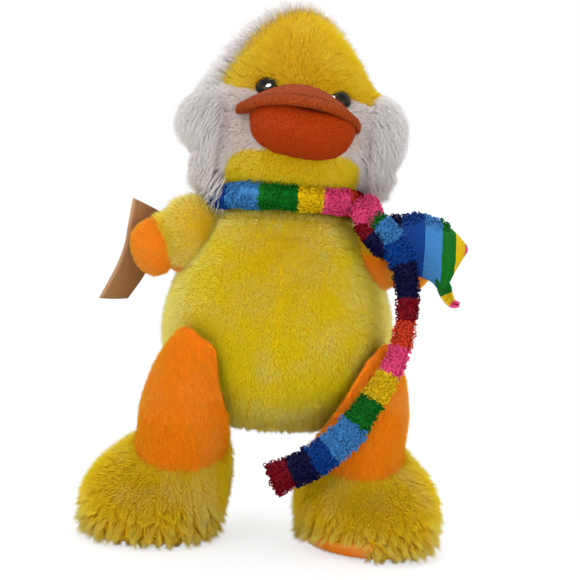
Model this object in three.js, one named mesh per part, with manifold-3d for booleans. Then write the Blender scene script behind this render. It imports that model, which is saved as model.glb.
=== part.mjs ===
// Plush duck with a striped knit scarf, standing on its two flat soles.
// Millimetres, +Z up. The duck faces -Y, so its own left side lies towards +X.

import * as THREE from 'three';
import { mergeVertices } from 'three/addons/utils/BufferGeometryUtils.js';
import Module from 'manifold-3d';

const wasm = await Module();
wasm.setup();

const radians = THREE.MathUtils.degToRad;
const vector = (x, y, z) => new THREE.Vector3(x, y, z);
const UP = vector(0, 0, 1);
const LEFT = vector(1, 0, 0);

// Driving dimensions.

const fit = {
  gap: 0.35,      // between sewn or touching pieces
  running: 0.6,   // between a limb and the body it swings on
  weld: 0.0001,   // points closer than this are one point
  sliver: 0.03,   // a cut's slivers up to this thick are smoothed away
};

const facets = {
  bodySides: 36, bodyRows: 18,
  headSides: 34, headRows: 16,
  innerSides: 16, innerRows: 9,
  limbSides: 24, limbInnerSides: 12,
  swingSteps: 8,
  padSides: 22, padRows: 14,
  bandSteps: 32, sheetSteps: 9,
  roundSides: 18, pinSides: 10,
};

// Trunk: an egg that is widest low down, flat at the seat and at the neck seam.
const body = {
  seatHeight: 63,
  height: 135,
  halfWidth: 70.5,
  halfDepth: 57,
  cover: 8,
  // height share, radius share
  outlineShares: [
    [0, 0.4], [0.052, 0.62], [0.126, 0.79], [0.237, 0.925], [0.415, 1],
    [0.57, 0.965], [0.72, 0.86], [0.83, 0.75], [0.93, 0.62], [1, 0.48],
  ],
};

// Small upturned tail low on the back.
const rump = {
  halfWidth: 22,
  halfLength: 26,
  halfThickness: 13,
  lift: 28,
  heightShare: 0.27,
  standOutShare: 0.35,
};

// Head: a blunt cone over round jowls, turned a little to the duck's left.
const head = {
  height: 119,
  halfWidth: 52,
  neckRadius: 36,
  cover: 8,
  yaw: 6,
  crownLean: 9,
  crownSetback: 4,
  chinHeight: 25,
  // height share, radius share
  outlineShares: [
    [0, 0.69], [0.04, 0.8], [0.1, 0.9], [0.19, 0.965], [0.34, 1], [0.5, 0.985],
    [0.6, 0.92], [0.69, 0.83], [0.78, 0.69], [0.86, 0.54], [0.93, 0.37], [0.975, 0.2], [0.998, 0.05],
  ],
};

// Cheek: a puff at the side of the head that narrows towards the shoulder.
const cheek = {
  halfWidth: 28,
  halfDepth: 36,
  height: 66,
  outShare: 0.84,
  forward: 6,
  hemHeight: 8.5,
  splay: 5,
  // height share, radius share
  outlineShares: [
    [0, 0.38], [0.06, 0.54], [0.16, 0.7], [0.28, 0.83], [0.4, 0.94], [0.54, 1],
    [0.66, 0.97], [0.8, 0.8], [0.92, 0.5], [1, 0.12],
  ],
};

// Face: bill and eyes share one slight tilt, lower on the duck's left.
const face = { tilt: 5 };

const upperBill = {
  halfWidth: 36,
  reach: 50,
  rootSetback: 36,
  rimHeight: 47,
  rimRadius: 2.6,
  rootRise: 18,
  droop: 4,
  grooveDepth: 1.3,
  underDepth: 4,
};

const lowerBill = {
  halfWidth: 30,
  reach: 32,
  depth: 22,
  rootSetback: 47,
  sideShift: 2,
  squareness: 2.6,
  felt: 3,
};

const eye = {
  radius: 7,
  domeHeight: 5.5,
  sink: 2.2,
  halfSpacing: 22.5,
  sideShift: 1.5,
  height: 60,
  shankRadius: 1.8,
  washerRadius: 6,
  washerThickness: 1.6,
  washerSetback: 3,
};

// Wing: a plump yellow sleeve with an orange hand and an orange underside.
const wing = {
  length: 50,
  halfHeight: 20,
  halfDepth: 14.5,
  cover: 5,
  rootShare: 0.62,
  heightShare: 0.87,
  rootSetForward: 8,
  droop: 24,
  sweep: 8,
  cuffShare: 0.56,
  undersideShare: 0.6,
  hingeShare: 0.1,
  hingeForwardShare: 0.85,
  swingForward: 35,
  swingBack: 10,
  // length share, height share, depth share
  sectionShares: [
    [0, 0.8, 0.8], [0.2, 0.92, 0.95], [0.42, 0.99, 1.03], [0.62, 0.98, 1],
    [0.78, 0.94, 0.94], [0.9, 0.77, 0.74], [0.97, 0.5, 0.46], [1, 0.18, 0.16],
  ],
};

// Leg: a drumstick thigh that widens downwards into a boot-shaped foot.
const thigh = {
  halfWidth: 30,
  halfDepth: 31,
  cover: 6,
  apexHeight: 131,
  apexForward: 16,
  hingeDrop: 9,
  hingeSetback: 5,
  swingForward: 80,
  swingBack: 6,
  // fall share, width share, depth share, forward share; the last section is inside the boot
  sectionShares: [
    [0, 0.12, 0.1, 1], [0.05, 0.32, 0.27, 0.95], [0.13, 0.52, 0.42, 0.8], [0.25, 0.7, 0.6, 0.55],
    [0.39, 0.85, 0.78, 0.33], [0.54, 0.94, 0.92, 0.16], [0.7, 1, 1, 0.05], [0.87, 0.98, 1, 0],
    [1, 0.9, 0.95, 0], [1.14, 0.8, 0.85, 0],
  ],
};

const foot = {
  halfWidth: 43.5,
  halfLength: 48,
  cover: 6,
  ankleHeight: 56,
  ankleTilt: 25,
  setForward: 17,
  soleEdge: 6.5,
  toeCapRise: 13,
  // rise share, width share, length share, tilt share
  sectionShares: [
    [0, 0.74, 0.78, 0], [0.06, 0.86, 0.89, 0], [0.19, 0.97, 0.98, 0.03], [0.36, 1.01, 1, 0.12],
    [0.56, 1.01, 0.94, 0.35], [0.74, 0.95, 0.84, 0.6], [0.88, 0.82, 0.73, 0.82], [1, 0.69, 0.64, 1],
  ],
};

// The soft seams let the two legs lie differently: apex and ankle of each, seen from above.
const legPlaces = {
  right: { side: -1, apexOut: 41, apexForward: 32, ankleOut: 49.5, ankleForward: 29, footOut: 66 },
  left: { side: 1, apexOut: 53, apexForward: 16, ankleOut: 51.5, ankleForward: 21, footOut: 60 },
};

// Scarf: one knit strip, rolled round the neck, knotted at the duck's left.
const scarf = {
  halfThickness: 5,
  halfHeight: 6,
  foldDepth: 1.5,
  neckReach: 48,
  neckReachFront: 44,
  neckLift: 2,
  knotAngle: 27,
  knotRadius: 9.5,
  wrapRadius: 7.5,
  wrapTube: 3.2,
  tailHalfWidth: 7.5,
  tailNeckShare: 0.7,
  tailThickness: 3,
  tailCurl: 4.5,
  flareThickness: 1.8,
  flareStandOff: 2.6,
};

// Free end, from the knot over the thigh to the gap between the feet.
const tailRoute = [
  [56, -41, 186], [62, -43, 178], [68, -45, 167], [71.5, -46, 151], [72, -47, 134], [68, -49, 113],
  [58, -54, 93], [43, -56.8, 70], [24, -58, 53], [3, -57, 42],
];

// Flat end over the wing: distance out, top height, bottom height, and how far it folds back.
const flareRoute = [
  [55, 189, 176, 2], [62, 193, 168, 7], [69, 193.5, 162, 13], [77, 196, 161, 16], [86, 194, 158, 14],
  [93, 191, 153, 11], [100, 185, 166, 7], [105, 178.5, 175.5, 2],
];

const tag = {
  width: 26,
  length: 62,
  thickness: 0.8,
  creaseShare: 0.42,
  creaseAngle: 18,
  turn: 48,
  lean: 15,
  holeRadius: 1.6,
  holeInset: 6,
  anchorShare: 0.8,
};

const fastener = {
  radius: 0.7,
  barRadius: 0.9,
  barLength: 11,
};

const colours = {
  lemon: 0xe9dc5a, gold: 0xf4c815, white: 0xf3eff0, felt: 0xb8481c, orange: 0xff8c1e,
  black: 0x141216, clear: 0xe8ecef, fibre: 0xf7f6f2, kraft: 0xa97b4e,
  pink: 0xef4f93, blue: 0x1450a4, green: 0x128a3a, red: 0xa5101f,
};

// Mesh helpers.

function signedVolume(positions, index) {
  const corners = [vector(0, 0, 0), vector(0, 0, 0), vector(0, 0, 0)];
  let total = 0;
  for (let i = 0; i < index.length; i += 3) {
    corners.forEach((corner, k) => corner.fromArray(positions, 3 * index[i + k]));
    total += corners[0].dot(corners[1].clone().cross(corners[2]));
  }
  return total;
}

// Turns a closed geometry into a solid that faces outwards.
function toSolid(geometry) {
  const bare = geometry.clone();
  bare.deleteAttribute('normal');
  bare.deleteAttribute('uv');
  const merged = mergeVertices(bare, fit.weld);
  const positions = merged.attributes.position.array;
  const index = [];
  for (let i = 0; i < merged.index.count; i += 3) {
    const [a, b, c] = merged.index.array.slice(i, i + 3);
    if (a !== b && b !== c && c !== a) index.push(a, b, c);
  }
  if (signedVolume(positions, index) < 0) index.reverse();
  return new wasm.Manifold(new wasm.Mesh({
    numProp: 3,
    vertProperties: new Float32Array(positions),
    triVerts: new Uint32Array(index),
  }));
}

function toGeometry(solid) {
  const { vertProperties, triVerts, numProp } = solid.getMesh();
  const geometry = new THREE.BufferGeometry();
  const positions = new Float32Array((vertProperties.length / numProp) * 3);
  for (let i = 0; i < positions.length / 3; i++) {
    positions.set(vertProperties.subarray(i * numProp, i * numProp + 3), 3 * i);
  }
  geometry.setAttribute('position', new THREE.BufferAttribute(positions, 3));
  geometry.setIndex([...triVerts]);
  geometry.computeVertexNormals();
  return geometry;
}

// Joins rings of equal point counts into one skin. An open loft gets a fan over each end.
function loft(rings, closed = false) {
  const sides = rings[0].length;
  const rows = rings.length;
  const points = rings.flat();
  const index = [];
  for (let row = 0; row < (closed ? rows : rows - 1); row++) {
    const here = row * sides;
    const next = ((row + 1) % rows) * sides;
    for (let side = 0; side < sides; side++) {
      const turn = (side + 1) % sides;
      index.push(here + side, here + turn, next + turn, here + side, next + turn, next + side);
    }
  }
  if (!closed) {
    for (const [first, flip] of [[0, false], [(rows - 1) * sides, true]]) {
      const middle = points.length;
      const ring = points.slice(first, first + sides);
      points.push(ring.reduce((sum, p) => sum.add(p), vector(0, 0, 0)).divideScalar(sides));
      for (let side = 0; side < sides; side++) {
        const edge = [first + side, first + ((side + 1) % sides)];
        index.push(middle, ...(flip ? edge : edge.reverse()));
      }
    }
  }
  const geometry = new THREE.BufferGeometry().setFromPoints(points);
  geometry.setIndex(index);
  return toSolid(geometry);
}

function ovalRing(centre, across, along, sides) {
  return Array.from({ length: sides }, (_, i) => {
    const angle = (2 * Math.PI * i) / sides;
    return centre.clone().addScaledVector(across, Math.cos(angle)).addScaledVector(along, Math.sin(angle));
  });
}

// Revolves [height, radius] points about +Z, closed to the axis, and flattens it front to back.
function turned(points, sides, depthRatio = 1) {
  const outline = points.map(([height, radius]) => new THREE.Vector2(radius, height));
  const ends = [new THREE.Vector2(0, outline[0].y), new THREE.Vector2(0, outline.at(-1).y)];
  const geometry = new THREE.LatheGeometry([ends[0], ...outline, ends[1]], sides);
  geometry.rotateX(Math.PI / 2);
  geometry.scale(1, depthRatio, 1);
  return toSolid(geometry);
}

// Smooth [height, radius] points through a table of shares.
function smoothOutline(shares, height, radius, rows) {
  const curve = new THREE.SplineCurve(shares.map(([h, r]) => new THREE.Vector2(h * height, r * radius)));
  return curve.getPoints(rows).map((p) => [p.x, p.y]);
}

function moved(solid, matrix) {
  return solid.transform(matrix.elements);
}

function shifted(solid, offset) {
  return solid.translate([offset.x, offset.y, offset.z]);
}

function turnedAbout(solid, point, axis, degrees) {
  const matrix = new THREE.Matrix4().makeTranslation(point.x, point.y, point.z)
    .multiply(new THREE.Matrix4().makeRotationAxis(axis, radians(degrees)))
    .multiply(new THREE.Matrix4().makeTranslation(-point.x, -point.y, -point.z));
  return moved(solid, matrix);
}

// Keeps the part of a solid on the side of a plane that its normal points to.
function keepSide(solid, point, normal, inset = 0) {
  const n = normal.clone().normalize();
  return solid.trimByPlane([n.x, n.y, n.z], n.dot(point) + inset);
}

// An ellipsoid. A squareness above 2 fills out its corners.
function pad(radii, sides = facets.padSides, rows = facets.padRows, squareness = 2) {
  const geometry = new THREE.SphereGeometry(1, sides, rows);
  const points = geometry.attributes.position;
  const point = vector(0, 0, 0);
  for (let i = 0; i < points.count; i++) {
    point.fromBufferAttribute(points, i);
    const sum = point.toArray().reduce((total, value) => total + Math.abs(value) ** squareness, 0);
    point.divideScalar(sum ** (1 / squareness)).multiply(radii);
    points.setXYZ(i, point.x, point.y, point.z);
  }
  return toSolid(geometry);
}

function rod(radius, from, to, sides = facets.pinSides) {
  const length = from.distanceTo(to);
  const geometry = new THREE.CylinderGeometry(radius, radius, length, sides);
  geometry.applyQuaternion(new THREE.Quaternion().setFromUnitVectors(
    vector(0, 1, 0), to.clone().sub(from).normalize()));
  const middle = from.clone().add(to).divideScalar(2);
  return shifted(toSolid(geometry), middle);
}

// A cut can leave crumbs in a corner: this keeps the largest body.
function mainBody(solid) {
  return solid.decompose().reduce((best, piece) => (piece.volume() > best.volume() ? piece : best));
}

// Takes from a limb whatever would meet an obstacle anywhere in the limb's swing.
function clearOfSwing(limb, obstacle, hinge, axis, from, to) {
  let result = limb.subtract(obstacle);
  for (let step = 0; step <= facets.swingSteps; step++) {
    const angle = from + ((to - from) * step) / facets.swingSteps;
    result = result.subtract(turnedAbout(obstacle, hinge, axis, -angle));
  }
  return result;
}

// Trunk.

const neckHeight = body.seatHeight + body.height;

function trunkForm(grow = 0, sides = facets.bodySides, rows = facets.bodyRows) {
  const outline = smoothOutline(
    body.outlineShares, body.height + 2 * grow, body.halfWidth + grow, rows);
  const form = turned(outline, sides, (body.halfDepth + grow) / (body.halfWidth + grow));
  return shifted(form, vector(0, 0, body.seatHeight - grow));
}

const trunk = trunkForm();
const neckBore = head.neckRadius - body.cover;
const trunkCavity = trunkForm(-body.cover, facets.innerSides, facets.innerRows)
  .add(rod(neckBore, vector(0, 0, neckHeight - 2 * body.cover), vector(0, 0, neckHeight + body.cover),
    facets.innerSides));
const trunkStuffing = trunkForm(-body.cover - fit.gap, facets.innerSides, facets.innerRows)
  .add(rod(neckBore - fit.gap, vector(0, 0, neckHeight - 2 * body.cover), vector(0, 0, neckHeight),
    facets.innerSides));

const rumpHeight = body.seatHeight + rump.heightShare * body.height;
const rumpPlace = vector(0, body.halfDepth * (1 - rump.standOutShare) + rump.halfLength / 2, rumpHeight);
const tailNub = shifted(
  turnedAbout(pad(vector(rump.halfWidth, rump.halfLength, rump.halfThickness)), vector(0, 0, 0), LEFT, rump.lift),
  rumpPlace).subtract(trunkForm(fit.gap));

// Head, modelled about the middle of its neck seam and then placed.

const headPlace = new THREE.Matrix4()
  .makeTranslation(0, 0, neckHeight + fit.running)
  .multiply(new THREE.Matrix4().makeRotationZ(radians(head.yaw)));

function headForm(grow = 0, sides = facets.headSides, rows = facets.headRows) {
  const outline = smoothOutline(head.outlineShares, head.height + 2 * grow, head.halfWidth + grow, rows);
  return shifted(turned(outline, sides), vector(0, 0, -grow));
}

function headRadiusAt(height) {
  const outline = smoothOutline(head.outlineShares, head.height, head.halfWidth, facets.headRows);
  const above = outline.findIndex(([h]) => h >= height);
  const [[h0, r0], [h1, r1]] = [outline[above - 1], outline[above]];
  return THREE.MathUtils.lerp(r0, r1, (height - h0) / (h1 - h0));
}

const skull = headForm();
const skullClearance = headForm(fit.gap);
const skullCavity = headForm(-head.cover, facets.innerSides, facets.innerRows)
  .add(rod(neckBore, vector(0, 0, -head.cover), vector(0, 0, 2 * head.cover), facets.innerSides));
const headShell = skull.subtract(skullCavity);

function makeEye(side) {
  const height = eye.height - side * eye.halfSpacing * Math.sin(radians(face.tilt));
  const radius = headRadiusAt(height);
  const azimuth = Math.asin((side * eye.halfSpacing + eye.sideShift) / radius);
  const outward = vector(Math.sin(azimuth), -Math.cos(azimuth), 0);
  const at = (distance) => vector(0, 0, height).addScaledVector(outward, distance);
  const seat = radius - eye.sink;
  const inside = radius - head.cover;
  const aim = new THREE.Matrix4().makeRotationZ(azimuth);
  aim.setPosition(at(seat));
  const button = (grow) => moved(
    pad(vector(eye.radius + grow, eye.domeHeight + grow, eye.radius + grow),
      facets.roundSides, facets.roundSides / 2),
    aim);
  const dome = keepSide(button(0), at(seat), outward);
  const washerFront = inside - eye.washerSetback;
  const washerBack = washerFront - eye.washerThickness;
  const shank = rod(eye.shankRadius, at(washerBack - eye.washerThickness), at(seat + eye.sink));
  const pocket = rod(eye.radius + fit.gap, at(seat - fit.gap), at(radius + eye.domeHeight), facets.roundSides);
  const bore = rod(eye.shankRadius + fit.gap, at(washerBack - 2 * eye.washerThickness), at(seat + eye.sink));
  const washer = rod(eye.washerRadius, at(washerBack), at(washerFront), facets.roundSides).subtract(bore);
  const washerSeat = rod(eye.washerRadius + fit.gap, at(washerBack - fit.gap),
    at(washerFront + fit.gap), facets.roundSides);
  const room = rod(eye.washerRadius + fit.gap, at(washerBack - 2 * eye.washerThickness),
    at(inside + eye.sink), facets.roundSides);
  return {
    button: dome.add(shank), washer, pocket: pocket.add(bore).add(washerSeat), room,
    clearance: button(fit.gap),
  };
}

const eyes = { right: makeEye(-1), left: makeEye(1) };

// Section of the upper bill at one place across its width, as points in the Y-Z plane.
function upperBillSection(across, grow) {
  const width = upperBill.halfWidth + grow;
  const share = across / width;
  const reach = Math.sqrt(Math.max(0, 1 - share * share)) * (upperBill.reach - upperBill.rimRadius);
  const drop = upperBill.droop * share * share;
  const rimRadius = upperBill.rimRadius + grow;
  const rim = vector(across, -upperBill.rootSetback - reach, upperBill.rimHeight - drop);
  const rise = upperBill.rootRise * Math.max(0, 1 - share * share) ** 1.3;
  const brow = vector(across, -upperBill.rootSetback, rim.z + upperBill.rimRadius + rise + grow);
  const root = vector(across, 0, brow.z);
  const under = vector(across, 0, rim.z - upperBill.underDepth - grow);
  const rimAngles = [60, 20, -20, -60, -100, -140].map((angle) => radians(angle));
  const rolled = rimAngles.map((angle) => vector(
    across, rim.y - rimRadius * Math.cos(angle), rim.z + rimRadius * Math.sin(angle)));
  const behindRim = rim.y + upperBill.rimRadius * 1.2;
  const slope = (y) => THREE.MathUtils.lerp(rim.z + rimRadius, brow.z, (y - rim.y) / (brow.y - rim.y));
  const groove = vector(across, behindRim, slope(behindRim) - upperBill.grooveDepth);
  const behindGroove = behindRim + upperBill.rimRadius;
  const crest = vector(across, behindGroove, slope(behindGroove) + upperBill.grooveDepth / 2);
  const middleY = (behindGroove + brow.y) / 2;
  const hump = vector(across, middleY, slope(middleY) + upperBill.grooveDepth);
  return [root, brow, hump, crest, groove, ...rolled, under];
}

function upperBillForm(grow = 0) {
  const count = facets.roundSides;
  const tip = 0.985;
  const sections = Array.from({ length: count + 1 }, (_, i) => {
    const angle = -Math.PI / 2 + (Math.PI * i) / count;
    return upperBillSection(tip * Math.sin(angle) * (upperBill.halfWidth + grow), grow);
  });
  return loft(sections);
}

function lowerBillForm(shrink) {
  const radii = vector(
    lowerBill.halfWidth - shrink, lowerBill.reach - shrink, lowerBill.depth - shrink);
  const form = pad(radii, facets.padSides, facets.padRows, lowerBill.squareness);
  const place = vector(
    lowerBill.sideShift, -lowerBill.rootSetback, upperBill.rimHeight - upperBill.underDepth);
  return keepSide(shifted(form, place), place, UP.clone().negate());
}

const faceTurn = (solid) => turnedAbout(
  solid, vector(0, 0, upperBill.rimHeight), vector(0, 1, 0), face.tilt);
const upperBillSolid = faceTurn(upperBillForm()).subtract(skullClearance)
  .subtract(eyes.left.clearance).subtract(eyes.right.clearance);
const upperBillRoom = faceTurn(upperBillForm(fit.running));
const lowerBillOuter = faceTurn(lowerBillForm(0)).subtract(skullClearance).subtract(upperBillRoom);
const lowerBillShell = mainBody(lowerBillOuter.subtract(faceTurn(lowerBillForm(lowerBill.felt))));
const billFilling = lowerBillOuter.intersect(faceTurn(lowerBillForm(lowerBill.felt + fit.gap)));

// The crown seam leans back over the top of the head; the chin patch ends under the bill.
const crownNormal = vector(0, -Math.cos(radians(head.crownLean)), Math.sin(radians(head.crownLean)));
const crownPoint = vector(0, -head.crownSetback, head.height);
const chinPoint = vector(0, 0, head.chinHeight);

// Each cheek leans in at the top and ends above the scarf.
const billRoom = upperBillRoom.add(faceTurn(lowerBillForm(-fit.gap)));
function jowl(side) {
  const outline = smoothOutline(cheek.outlineShares, cheek.height, cheek.halfWidth, facets.padRows);
  const lobe = turned(outline, facets.padSides, cheek.halfDepth / cheek.halfWidth);
  const place = vector(side * cheek.outShare * head.halfWidth, -cheek.forward, cheek.hemHeight);
  const leaning = turnedAbout(lobe, vector(0, 0, 0), vector(0, 1, 0), -side * cheek.splay);
  return keepSide(shifted(leaning, place), place, UP)
    .subtract(skullClearance).subtract(billRoom);
}

const pockets = eyes.left.pocket.add(eyes.right.pocket);
const frontShell = keepSide(headShell, crownPoint, crownNormal, fit.gap / 2).subtract(pockets);
const headPieces = {
  head_cap: [keepSide(frontShell, chinPoint, UP, fit.gap / 2), 'gold'],
  chin_patch: [keepSide(frontShell, chinPoint, UP.clone().negate(), fit.gap / 2), 'gold'],
  head_back: [keepSide(headShell, crownPoint, crownNormal.clone().negate(), fit.gap / 2), 'white'],
  cheek_left: [jowl(1), 'white'],
  cheek_right: [jowl(-1), 'white'],
  upper_bill: [upperBillSolid, 'felt'],
  lower_bill: [lowerBillShell, 'felt'],
  bill_stuffing: [billFilling, 'fibre'],
  eye_left: [eyes.left.button, 'black'],
  eye_right: [eyes.right.button, 'black'],
  eye_washer_left: [eyes.left.washer, 'clear'],
  eye_washer_right: [eyes.right.washer, 'clear'],
  head_stuffing: [
    headForm(-head.cover - fit.gap, facets.innerSides, facets.innerRows)
      .add(rod(neckBore - fit.gap, vector(0, 0, 0), vector(0, 0, 2 * head.cover), facets.innerSides))
      .subtract(eyes.left.room).subtract(eyes.right.room),
    'fibre'],
};

// Wings.

function wingFrame(side) {
  const droop = radians(wing.droop);
  const sweep = radians(wing.sweep);
  const along = vector(
    side * Math.cos(droop) * Math.cos(sweep), -Math.cos(droop) * Math.sin(sweep), -Math.sin(droop));
  const deep = UP.clone().cross(along).normalize();
  const tall = along.clone().cross(deep).normalize();
  const root = vector(
    side * wing.rootShare * body.halfWidth, -wing.rootSetForward,
    body.seatHeight + wing.heightShare * body.height);
  const hinge = root.clone()
    .addScaledVector(along, wing.hingeShare * wing.length)
    .addScaledVector(deep, -side * wing.hingeForwardShare * wing.halfDepth);
  return { along, deep, tall, root, hinge };
}

function wingForm(side, grow = 0, sides = facets.limbSides) {
  const { along, deep, tall, root } = wingFrame(side);
  const overruns = wing.sectionShares.map(() => 0);
  overruns[0] = -grow;
  overruns[overruns.length - 1] = grow;
  return loft(wing.sectionShares.map(([lengthShare, heightShare, depthShare], i) => {
    const overrun = overruns[i];
    return ovalRing(
      root.clone().addScaledVector(along, lengthShare * wing.length + overrun),
      deep.clone().multiplyScalar(depthShare * wing.halfDepth + grow),
      tall.clone().multiplyScalar(heightShare * wing.halfHeight + grow),
      sides);
  }));
}

function innerWingForm(side, inset) {
  const { along, deep, tall, root } = wingFrame(side);
  const reach = wing.length - inset;
  return loft(wing.sectionShares.slice(0, -1).map(([lengthShare, heightShare, depthShare]) => ovalRing(
    root.clone().addScaledVector(along, lengthShare * reach),
    deep.clone().multiplyScalar(depthShare * wing.halfDepth - inset),
    tall.clone().multiplyScalar(heightShare * wing.halfHeight - inset),
    facets.limbInnerSides)));
}

// A positive hinge value swings a wing forwards, about -Z on the left and +Z on the right.
const wingAxis = (side) => vector(0, 0, -side);

function makeWing(side) {
  const { along, tall, root, hinge } = wingFrame(side);
  const clear = (solid, room) => clearOfSwing(
    solid, trunkForm(room), hinge, wingAxis(side), -wing.swingBack, wing.swingForward);
  const wallRoom = fit.running + wing.cover;
  const shell = clear(wingForm(side), fit.running)
    .subtract(clear(innerWingForm(side, wing.cover), wallRoom));
  const cuff = root.clone().addScaledVector(along, wing.cuffShare * wing.length);
  const underside = root.clone().addScaledVector(tall, -wing.undersideShare * wing.halfHeight);
  const half = fit.gap / 2;
  return {
    sleeve: keepSide(keepSide(shell, cuff, along.clone().negate(), half), underside, tall, half),
    hand: keepSide(shell, cuff, along, half).add(keepSide(shell, underside, tall.clone().negate(), half)),
    stuffing: mainBody(clear(innerWingForm(side, wing.cover + fit.gap), wallRoom + fit.gap)),
    hinge,
  };
}

const wings = { right: makeWing(-1), left: makeWing(1) };

// Legs.

// The inner form leaves out the sections that are too slim to hold filling.
function thighForm(place, grow = 0, sides = facets.limbSides) {
  const fall = thigh.apexHeight - foot.ankleHeight;
  const sections = thigh.sectionShares.filter(([, widthShare]) => widthShare * thigh.halfWidth > -2 * grow);
  return loft(sections.map(([fallShare, widthShare, depthShare, forwardShare]) => {
    const tilt = radians(foot.ankleTilt) * THREE.MathUtils.smoothstep(fallShare, 0.5, 1);
    const out = THREE.MathUtils.lerp(place.apexOut, place.ankleOut, fallShare);
    const forward = THREE.MathUtils.lerp(place.apexForward, place.ankleForward, fallShare)
      + forwardShare * thigh.apexForward;
    return ovalRing(
      vector(place.side * out, -forward, thigh.apexHeight - fallShare * fall + (fallShare === 0 ? grow : 0)),
      LEFT.clone().multiplyScalar(widthShare * thigh.halfWidth + grow),
      vector(0, Math.cos(tilt), Math.sin(tilt)).multiplyScalar(depthShare * thigh.halfDepth + grow),
      sides);
  }));
}

function footForm(place, grow = 0, sides = facets.limbSides) {
  const bottom = foot.sectionShares.map(([riseShare, widthShare, lengthShare, tiltShare]) => {
    const tilt = radians(foot.ankleTilt) * tiltShare;
    const out = THREE.MathUtils.lerp(place.footOut, place.ankleOut, riseShare ** 3);
    const forward = THREE.MathUtils.lerp(foot.setForward, place.ankleForward, riseShare * riseShare);
    const rise = THREE.MathUtils.lerp(-grow, foot.ankleHeight, riseShare);
    return ovalRing(
      vector(place.side * out, -forward, rise),
      LEFT.clone().multiplyScalar(widthShare * foot.halfWidth + grow),
      vector(0, Math.cos(tilt), Math.sin(tilt)).multiplyScalar(lengthShare * foot.halfLength + grow),
      sides);
  });
  return loft(bottom);
}

function hipOf(place) {
  const forward = place.apexForward + thigh.apexForward - thigh.hingeSetback;
  return vector(place.side * place.apexOut, -forward, thigh.apexHeight - thigh.hingeDrop);
}

// A positive hinge value swings a leg forwards.
const legAxis = vector(-1, 0, 0);

function makeLeg(place) {
  const hip = hipOf(place);
  const clear = (solid, room) => clearOfSwing(
    solid, trunkForm(room), hip, legAxis, -thigh.swingBack, thigh.swingForward);
  const wallRoom = fit.running + thigh.cover;
  const ankle = vector(place.side * place.ankleOut, -place.ankleForward, foot.ankleHeight);
  const ankleUp = vector(0, -Math.sin(radians(foot.ankleTilt)), Math.cos(radians(foot.ankleTilt)));
  const toe = vector(0, -foot.setForward - foot.halfLength, foot.toeCapRise);
  const instep = vector(0, -foot.setForward, foot.soleEdge);
  const soleUp = LEFT.clone().cross(instep.clone().sub(toe)).normalize();
  const half = fit.gap / 2;
  const cavity = thighForm(place, -thigh.cover, facets.limbInnerSides)
    .add(footForm(place, -foot.cover, facets.limbInnerSides));
  const filling = thighForm(place, -thigh.cover - fit.gap, facets.limbInnerSides)
    .add(footForm(place, -foot.cover - fit.gap, facets.limbInnerSides));
  const shell = clear(thighForm(place).add(footForm(place)), fit.running)
    .subtract(clear(cavity, wallRoom));
  const boot = keepSide(shell, ankle, ankleUp.clone().negate(), half);
  const floorPlane = vector(0, 0, foot.soleEdge);
  return {
    thigh: mainBody(keepSide(shell, ankle, ankleUp, half)),
    foot: keepSide(keepSide(boot, instep, soleUp, half), floorPlane, UP, half),
    sole: keepSide(boot, instep, soleUp.clone().negate(), half)
      .add(keepSide(boot, floorPlane, UP.clone().negate(), half)),
    stuffing: mainBody(clear(filling, wallRoom + fit.gap)),
    hip,
  };
}

const legs = { right: makeLeg(legPlaces.right), left: makeLeg(legPlaces.left) };

// Scarf.

const bandHeight = neckHeight + scarf.neckLift;

// The rolled strip: an oval section with one fold pressed into its outer side.
function bandSection(centre, outward, grow) {
  return Array.from({ length: facets.pinSides }, (_, i) => {
    const angle = (2 * Math.PI * i) / facets.pinSides;
    const fold = i === 0 ? scarf.foldDepth : 0;
    return centre.clone()
      .addScaledVector(outward, (scarf.halfThickness + grow) * Math.cos(angle) - fold)
      .addScaledVector(UP, (scarf.halfHeight + grow) * Math.sin(angle));
  });
}

function neckBand(grow = 0) {
  const rings = Array.from({ length: facets.bandSteps }, (_, i) => {
    const angle = (2 * Math.PI * i) / facets.bandSteps;
    const outward = vector(Math.cos(angle), Math.sin(angle), 0);
    const centre = vector(
      (scarf.neckReach - scarf.halfThickness) * outward.x,
      (scarf.neckReachFront - scarf.halfThickness) * outward.y, bandHeight);
    return bandSection(centre, outward, grow);
  });
  return loft(rings, true);
}

const headRoom = moved(headForm(fit.running), headPlace);
const roomForWing = (solid, side) => clearOfSwing(
  solid, wingForm(side, fit.running), wings.left.hinge, wingAxis(side), -wing.swingForward, wing.swingBack);
const neckScarf = neckBand().subtract(trunkForm(fit.gap)).subtract(headRoom);

const knotOut = vector(Math.cos(radians(scarf.knotAngle)), -Math.sin(radians(scarf.knotAngle)), 0);
const knotPlace = vector(scarf.neckReach * knotOut.x, scarf.neckReachFront * knotOut.y, bandHeight - scarf.halfHeight);
const knotWrap = new THREE.TorusGeometry(scarf.wrapRadius, scarf.wrapTube, facets.pinSides, facets.roundSides);
const knot = shifted(
  pad(vector(scarf.knotRadius, scarf.knotRadius * 0.8, scarf.knotRadius), facets.roundSides, facets.pinSides)
    .add(turnedAbout(toSolid(knotWrap), vector(0, 0, 0), UP, 90 - scarf.knotAngle)),
  knotPlace);

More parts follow.
